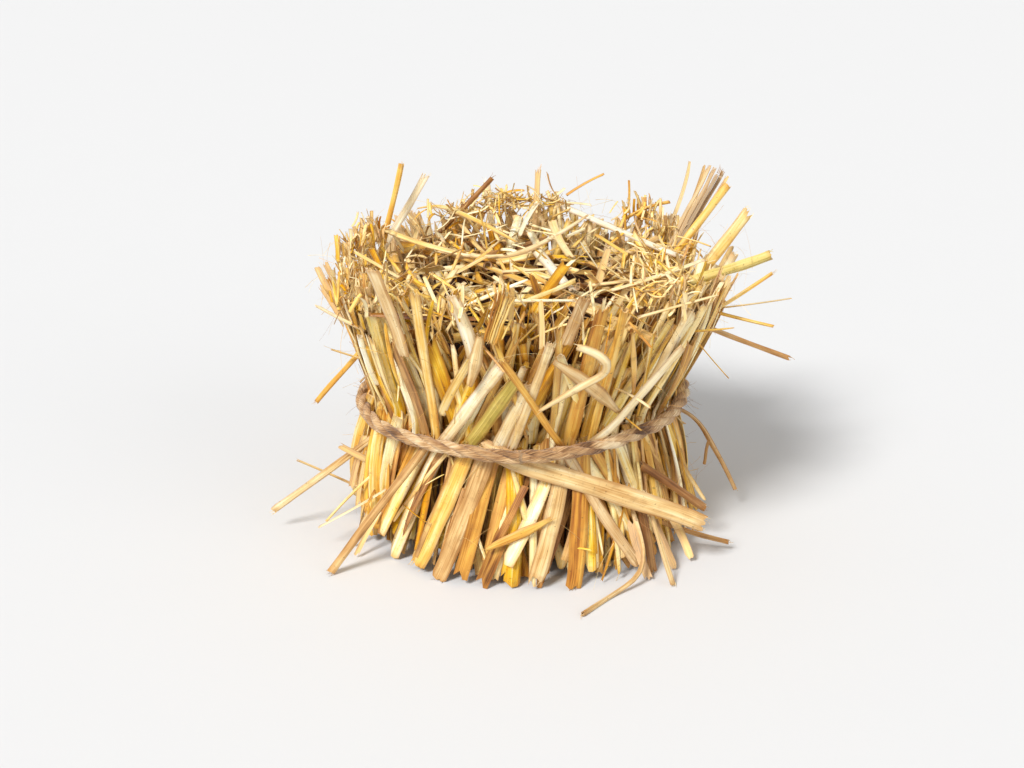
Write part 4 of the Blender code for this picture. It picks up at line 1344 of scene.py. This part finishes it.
# each piece's points, placed in metres, and its straws
loosePieces = {
    # the bottom layer of the dish gets darker tones than the straw over it: painted shade under the upper
    # straw
    "dish_bottom_straw": (dishPoints(120, 0.048, 0.0680, 0.0740, 27),
                          looseValues(27, stalkVariants, length=(12, 34), width=(0.8, 3.0), tilt=(-30, 30),
                                      tone=(0.3, 0.95))),
    "dish_straw": (dishPoints(54, 0.037, 0.0740, 0.0785, 29),
                   looseValues(21, stalkVariants, length=(12, 32), width=(0.9, 3.2), tilt=(-18, 18),
                               tone=(0.16, 0.60))),
    "dish_chaff": (dishPoints(170, 0.054, 0.0730, 0.0830, 22),
                   looseValues(22, stalkVariants, length=(4, 18), width=(0.4, 1.3), tilt=(-50, 50),
                               tone=(0.20, 0.60))),
    "rim_shreds": (heapPoints(shredHeaps, (2.6, 2.6, 1.4), 26),
                   looseValues(26, stalkVariants, length=(3.5, 10), width=(0.4, 1.5), tilt=(35, 125),
                               sag=(-0.22, 0.22), tone=(0.26, 0.60))),
    "rim_chaff": (heapPoints(chaffHeaps, (5.0, 4.0, 1.2), 28),
                  looseValues(28, stalkVariants, length=(4, 14), width=(0.3, 1.1), tilt=(-50, 50),
                              sag=(-0.22, 0.22), tone=(0.26, 0.60))),
    "rim_fibres": (wallPoints(420, 0.070, 0.086, (-0.001, 0.018), 23),
                   looseValues(23, fibreVariants, length=(5, 16), width=(5, 14), tilt=(-80, 80),
                               tone=(0.3, 0.7), sag=(-0.2, 0.2))),
    "wall_fibres": (wallPoints(420, 0.004, 0.080, (-0.003, 0.001), 24),
                    looseValues(24, fibreVariants, length=(5, 18), width=(5, 13), tilt=(-80, 80),
                                tone=(0.4, 0.8), sag=(-0.2, 0.2))),
    "wall_splinters": (wallPoints(60, 0.004, 0.080, (-0.001, 0.001), 25),
                       looseValues(25, stalkVariants, length=(5, 18), width=(0.4, 1.1), tone=(0.35, 0.75),
                                   tilt=(-80, 80))),
}
for name, (points, values) in loosePieces.items():
    growPiece(name, looseStraw, points, values)
print("loose straw made")

# Thin straws that stick out beside the stalks that are solids, and a few that lie on the heap:
# (root, tip, width, form, tone), in millimetres
thinForms = {
    "flat": {"form": "flat", "columns": 5, "wall": 0.3 * mm, "curl": 0.3, "veins": 0.03,
             "tear": 0.5, "splits": 1, "splitDepth": 1.2 * mm},
    "round": {"form": "round", "columns": 8, "squash": 0.9, "bore": 0.66, "boreDepth": 2.0,
              "tear": 0.4, "splits": 1, "splitDepth": 0.8 * mm},
}
thinStraws = (
    ((14, 50, 88), (26, 50, 95), 0.9, "round", 0.64),
    ((34, 50, 82), (34, 50, 93), 0.9, "round", 0.68),
    ((47.6, 40, 83), (52.3, 40, 101.5), 1.3, "flat", 0.40),
    ((48, 31, 78), (56, 31, 102), 1.8, "flat", 0.50),
    ((50, 28, 80), (58.5, 31, 101), 1.4, "flat", 0.66),
    ((53, 26, 82), (62.5, 28, 99.5), 1.3, "flat", 0.60),
    ((50, -10, 70), (73, -10, 64), 1.2, "round", 0.55),
    ((52, -4, 67), (79, -2, 70), 0.9, "flat", 0.35),
    ((46, -12, 66), (60.5, -12, 48.5), 0.4, "round", 0.60),
    ((-42, -10, 8), (-68, -10, 21), 1.6, "flat", 0.35),
    ((-40, -14, 20), (-54, -16, 28.5), 2.4, "flat", 0.45),
    ((-47, -12, 30), (-51.5, -13, 13.5), 2.2, "flat", 0.60),
    ((-46, -14, 26), (-49.5, -17, 9), 1.6, "flat", 0.52),
    ((-43, -20, 22), (-58, -24, 7.5), 0.9, "round", 0.40),
    ((-40, -24, 18), (-60, -27, 7), 0.8, "flat", 0.20),
    ((-42, -26, 12), (-48.5, -33, 1), 1.8, "flat", 0.55),
    ((-44, -20, 12), (-50, -26, 1), 1.6, "flat", 0.48),
    ((-45, -19, 65.5), (-59.2, -16, 72), 2.2, "flat", 0.22),
    ((-46, -12, 54), (-55.6, -14, 58), 1.4, "flat", 0.40),
    ((-50, -14, 66), (-58.5, -14, 83), 2.2, "flat", 0.52),
    ((-49, -13, 68), (-56.3, -13, 84), 2.0, "flat", 0.62),
    ((-51, -16, 66), (-57.7, -16, 78), 1.5, "flat", 0.56),
    ((46, -12, 24), (55, -14, 10), 1.4, "flat", 0.55),
    ((42, -26, 14), (49, -35, 1.5), 2.8, "flat", 0.55),
    ((38, -31, 12), (44, -40, 0.8), 2.6, "flat", 0.70),
    ((31, -39, 16), (36, -46, 0.6), 3.0, "flat", 0.72),
    ((6, 54, 86), (-1, 12, 85), 1.8, "flat", 0.10),
    ((9, 34, 84), (14, 3, 81), 2.9, "flat", 0.42),
    ((-6, -9, 80), (14, -7, 80.5), 2.1, "flat", 0.30),
    ((5, -58, 74), (4.5, -60.5, 88), 1.6, "flat", 0.50),
    ((-4, -47, 83.5), (14, -45, 83), 2.2, "flat", 0.05),
    ((24, -36, 83), (37, -33, 86), 2.2, "flat", 0.30),
    ((34, -31, 84.5), (51, -15, 85.5), 2.4, "flat", 0.18),
    ((30, -53, 81), (52, -40, 83), 1.6, "flat", 0.42),
    ((18, -32, 83), (39, -28, 84), 2.4, "flat", 0.46),
    ((21, -10, 74), (24.5, -6, 86), 2.4, "flat", 0.55),
)
thinLook = {"bow": 0.03, "taper": 0.2, "upright": 0.45, "leastSpans": 6}


def straightRoute(root, tip, width, chance):
    root = Vector(root) * mm
    tip = Vector(tip) * mm
    along = (tip - root).normalized()
    facing = Vector((0, 0, 1)) if abs(along.z) < thinLook["upright"] else Vector((0, -1, 0))
    across = along.cross(facing).normalized()
    out = along.cross(across)
    length = (tip - root).length
    count = max(thinLook["leastSpans"], round(length / (routeLook["stationSpacing"] * mm)))
    bow = chance.uniform(-thinLook["bow"], thinLook["bow"]) * length
    route = []
    for k in range(count + 1):
        share = k / count
        curve = across * (bow * 4 * share * (1 - share))
        half = width / 2 * mm * (1 - thinLook["taper"] * share)
        route.append((root.lerp(tip, share) + curve, across, out, half))
    return route


def makeThinStraws():
    chance = random.Random(57)
    several = []
    for root, tip, width, form, tone in thinStraws:
        parts = stalkParts(straightRoute(root, tip, width, chance), thinForms[form], chance)
        several.append(tinted(parts, tone, chance))
    obj = stalkObject("thin_stray_straws", joinParts(several), strawMaterials["straw_packed"])
    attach(obj, "root")
    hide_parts("packed_straw")


makeThinStraws()
print("thin straws made")

# Jute twine: three plies laid round each other, drawn tight on the stalks, with the knot and
# its two ends at the back. The route is read from the CAD loop's inner side.
twineLook = {
    "bins": 60, "band": 1.2 * mm, "smoothing": 4, "halfThickness": 1.9 * mm, "tilt": 1.2 * mm,
    "plies": 3, "plyRadius": 1.14 * mm, "plyOffset": 0.86 * mm, "pitch": 23.0 * mm,
    "sides": 12, "step": 0.8 * mm, "skew": 0.5, "slub": (0.93, 1.07), "plyGrain": 30 * mm,
    "knotBearing": 172, "knotSize": (3.6, 3.0, 3.0), "knotPoints": 46, "knotLift": 1.6 * mm,
    "ends": ((164, 5, 17), (179, 4, 20)), "endBow": 2 * mm,
    "fuzz": 620, "fuzzLength": (1.0, 4.5), "fuzzRadius": 0.045, "fuzzRoot": 0.8,
}


def loopRadii():
    count = twineLook["bins"]
    nearest = [1.0] * count
    for vertex in nodes["twine"].data.vertices:
        x, y, z = vertex.co
        bearing = math.atan2(x, -y) % math.tau
        if abs(z - bundle["waistHeight"] - twineLook["tilt"] * math.sin(bearing)) < twineLook["band"]:
            place = int(bearing / math.tau * count) % count
            nearest[place] = min(nearest[place], math.hypot(x, y))
    known = [k for k in range(count) if nearest[k] < 1.0]
    bearings = np.array([(k + 0.5) / count * math.tau for k in known])
    radii = np.array([nearest[k] for k in known]) + twineLook["halfThickness"]
    for smoothing in range(twineLook["smoothing"]):
        radii = radii * 0.5 + (np.roll(radii, 1) + np.roll(radii, -1)) * 0.25
    return bearings, radii


def loopPoint(bearing, radii):
    radius = float(np.interp(bearing % math.tau, radii[0], radii[1], period=math.tau))
    return around(bearing, radius, bundle["waistHeight"] + twineLook["tilt"] * math.sin(bearing))


# the plies round a path, each a tube with its fibres laid slantwise
def plyParts(path, closed, chance):
    look = twineLook
    parts = emptyParts()
    count = len(path)
    sides = look["sides"]
    frames = []
    across = directionAt(path, 0, closed).orthogonal()
    for k in range(count):
        along = directionAt(path, k, closed)
        across = (across - along * across.dot(along)).normalized()
        frames.append((across, along.cross(across)))
    whole = sum((path[k + 1] - path[k]).length for k in range(count - 1))
    turns = max(1, round(whole / look["pitch"]))
    for ply in range(look["plies"]):
        spine = []
        for k, (across, out) in enumerate(frames):
            angle = math.tau * (turns * k / (count if closed else count - 1) + ply / look["plies"])
            spine.append(path[k] + (across * math.cos(angle) + out * math.sin(angle)) * look["plyOffset"])
        start = len(parts["corners"])
        slub = [chance.uniform(*look["slub"]) for k in range(count)]
        for k in range(count):
            along = directionAt(spine, k, closed)
            across = frames[k][0]
            side = (across - along * across.dot(along)).normalized()
            lift = along.cross(side)
            travelled = k * look["step"]
            for n in range(sides):
                angle = math.tau * n / sides
                reach = look["plyRadius"] * slub[k]
                corner = spine[k] + (side * math.cos(angle) + lift * math.sin(angle)) * reach
                addCorner(parts, corner, (angle * look["plyRadius"] + travelled * look["skew"],
                                          travelled, ply * look["plyGrain"]))
        joinRings(parts, start, count, sides, closed)
        if not closed:
            capEnds(parts, start, count, sides)
    return parts


def curvePath(keys, step):
    keys = [Vector(key) for key in keys]
    path = []
    for k in range(len(keys) - 1):
        before = keys[max(k - 1, 0)]
        after = keys[min(k + 2, len(keys) - 1)]
        start, end = keys[k], keys[k + 1]
        pieces = max(2, round((end - start).length / step))
        for n in range(pieces):
            t = n / pieces
            path.append(start + (end - before) * (t / 2)
                        + (2 * before - 5 * start + 4 * end - after) * (t * t / 2)
                        + (3 * start - before - 3 * end + after) * (t ** 3 / 2))
    path.append(keys[-1])
    return path


def makeTwine():
    look = twineLook
    chance = random.Random(9)
    radii = loopRadii()
    count = round(math.tau * float(radii[1].mean()) / look["step"])
    loop = [loopPoint(math.tau * k / count, radii) for k in range(count)]
    several = [plyParts(loop, True, chance)]

    bearing = math.radians(look["knotBearing"])
    centre = loopPoint(bearing, radii) + around(bearing, look["knotLift"], 0.0)
    right = Vector((math.cos(bearing), math.sin(bearing), 0))
    out = around(bearing, 1.0, 0.0)
    wide, deep, tall = look["knotSize"]
    knot = []  # a trefoil
    for k in range(look["knotPoints"]):
        t = math.tau * k / look["knotPoints"]
        knot.append(centre + right * ((math.sin(t) + 2 * math.sin(2 * t)) / 3 * wide * mm)
                    + Vector((0, 0, 1)) * ((math.cos(t) - 2 * math.cos(2 * t)) / 3 * tall * mm)
                    + out * (-math.sin(3 * t) * deep * 0.5 * mm))
    several.append(plyParts(knot, True, chance))
    tails = []
    for endBearing, away, height in look["ends"]:
        reach = math.hypot(centre.x, centre.y) - look["knotLift"] + away * mm
        end = around(math.radians(endBearing), reach, height * mm)
        middle = centre.lerp(end, 0.5) + around(math.radians(endBearing), look["endBow"], 0)
        tail = curvePath((centre, middle, end), look["step"])
        tails.append(tail)
        several.append(plyParts(tail, False, chance))
    obj = stalkObject("jute_twine", joinParts(several), jute)
    fuzz = []
    spots = loop * 3 + tails[0] + tails[1] + knot
    for k in range(round(look["fuzz"] * few)):
        spot = chance.choice(spots)
        away = Vector([chance.gauss(0, 1) for axis in range(3)]).normalized()
        drift = Vector([chance.gauss(0, 1) for axis in range(3)]).normalized()
        reach = chance.uniform(*look["fuzzLength"]) * mm
        root = spot + away * look["halfThickness"] * look["fuzzRoot"]
        points = [root + away * (reach * s * (1 - 0.4 * s)) + drift * (reach * s)
                  for s in (0, 0.35, 0.7, 1.0)]
        fuzz.append(fibreParts(points, look["fuzzRadius"] * mm, 0.4))
    hairs = stalkObject("jute_hairs", joinParts(fuzz), jute)
    for made in (obj, hairs):
        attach(made, "root")
        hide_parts("twine")


makeTwine()
print("twine made")

# Plain pale table and soft studio light: one large soft key from the upper left, a weak fill
# from the right, and an even pale surround
studio = {
    "tableRadius": 8.0, "tableSides": 64, "tableColour": "#dadada", "tableRoughness": (0.8, 0.95),
    "mottle": 30.0, "surround": 0.50,
    "key": {"from": (-0.55, -0.75, 0.90), "angle": 17, "strength": 3.4},
    "fill": {"from": (0.80, -0.60, 0.45), "angle": 40, "strength": 0.5},
}


def makeStudio():
    mesh = bpy.data.meshes.new("table")
    sides = studio["tableSides"]
    rim = [around(math.tau * k / sides, studio["tableRadius"], 0.0) for k in range(sides)]
    mesh.from_pydata(rim, [], [tuple(range(sides))])
    material, tree, shader = newMaterial("table_matt_paper")
    place = addNode(tree, "ShaderNodeTexCoord", out="Object")
    mottle = addNode(tree, "ShaderNodeTexNoise",
                     {"Vector": place, "Scale": studio["mottle"], "Detail": 2.0})
    least, most = studio["tableRoughness"]
    rough = addNode(tree, "ShaderNodeMapRange", {"Value": mottle, "To Min": least, "To Max": most})
    tree.links.new(rough, shader.inputs["Roughness"])
    shader.inputs["Base Color"].default_value = linear(studio["tableColour"])
    mesh.materials.append(material)
    table = newObject("table", mesh)
    for name in ("key", "fill"):
        look = studio[name]
        data = bpy.data.lights.new(name, "SUN")
        data.angle = math.radians(look["angle"])
        data.energy = look["strength"]
        lamp = newObject(name, data)
        lamp.location = look["from"]
        lamp.rotation_mode = "QUATERNION"
        lamp.rotation_quaternion = (-Vector(look["from"])).to_track_quat("-Z", "Y")
    world = bpy.data.worlds.new("pale_surround")
    world.use_nodes = True
    background = world.node_tree.nodes["Background"]
    background.inputs["Color"].default_value = linear("#ffffff")
    background.inputs["Strength"].default_value = studio["surround"]
    bpy.context.scene.world = world
    bpy.context.scene.view_settings.view_transform = "Standard"


makeStudio()
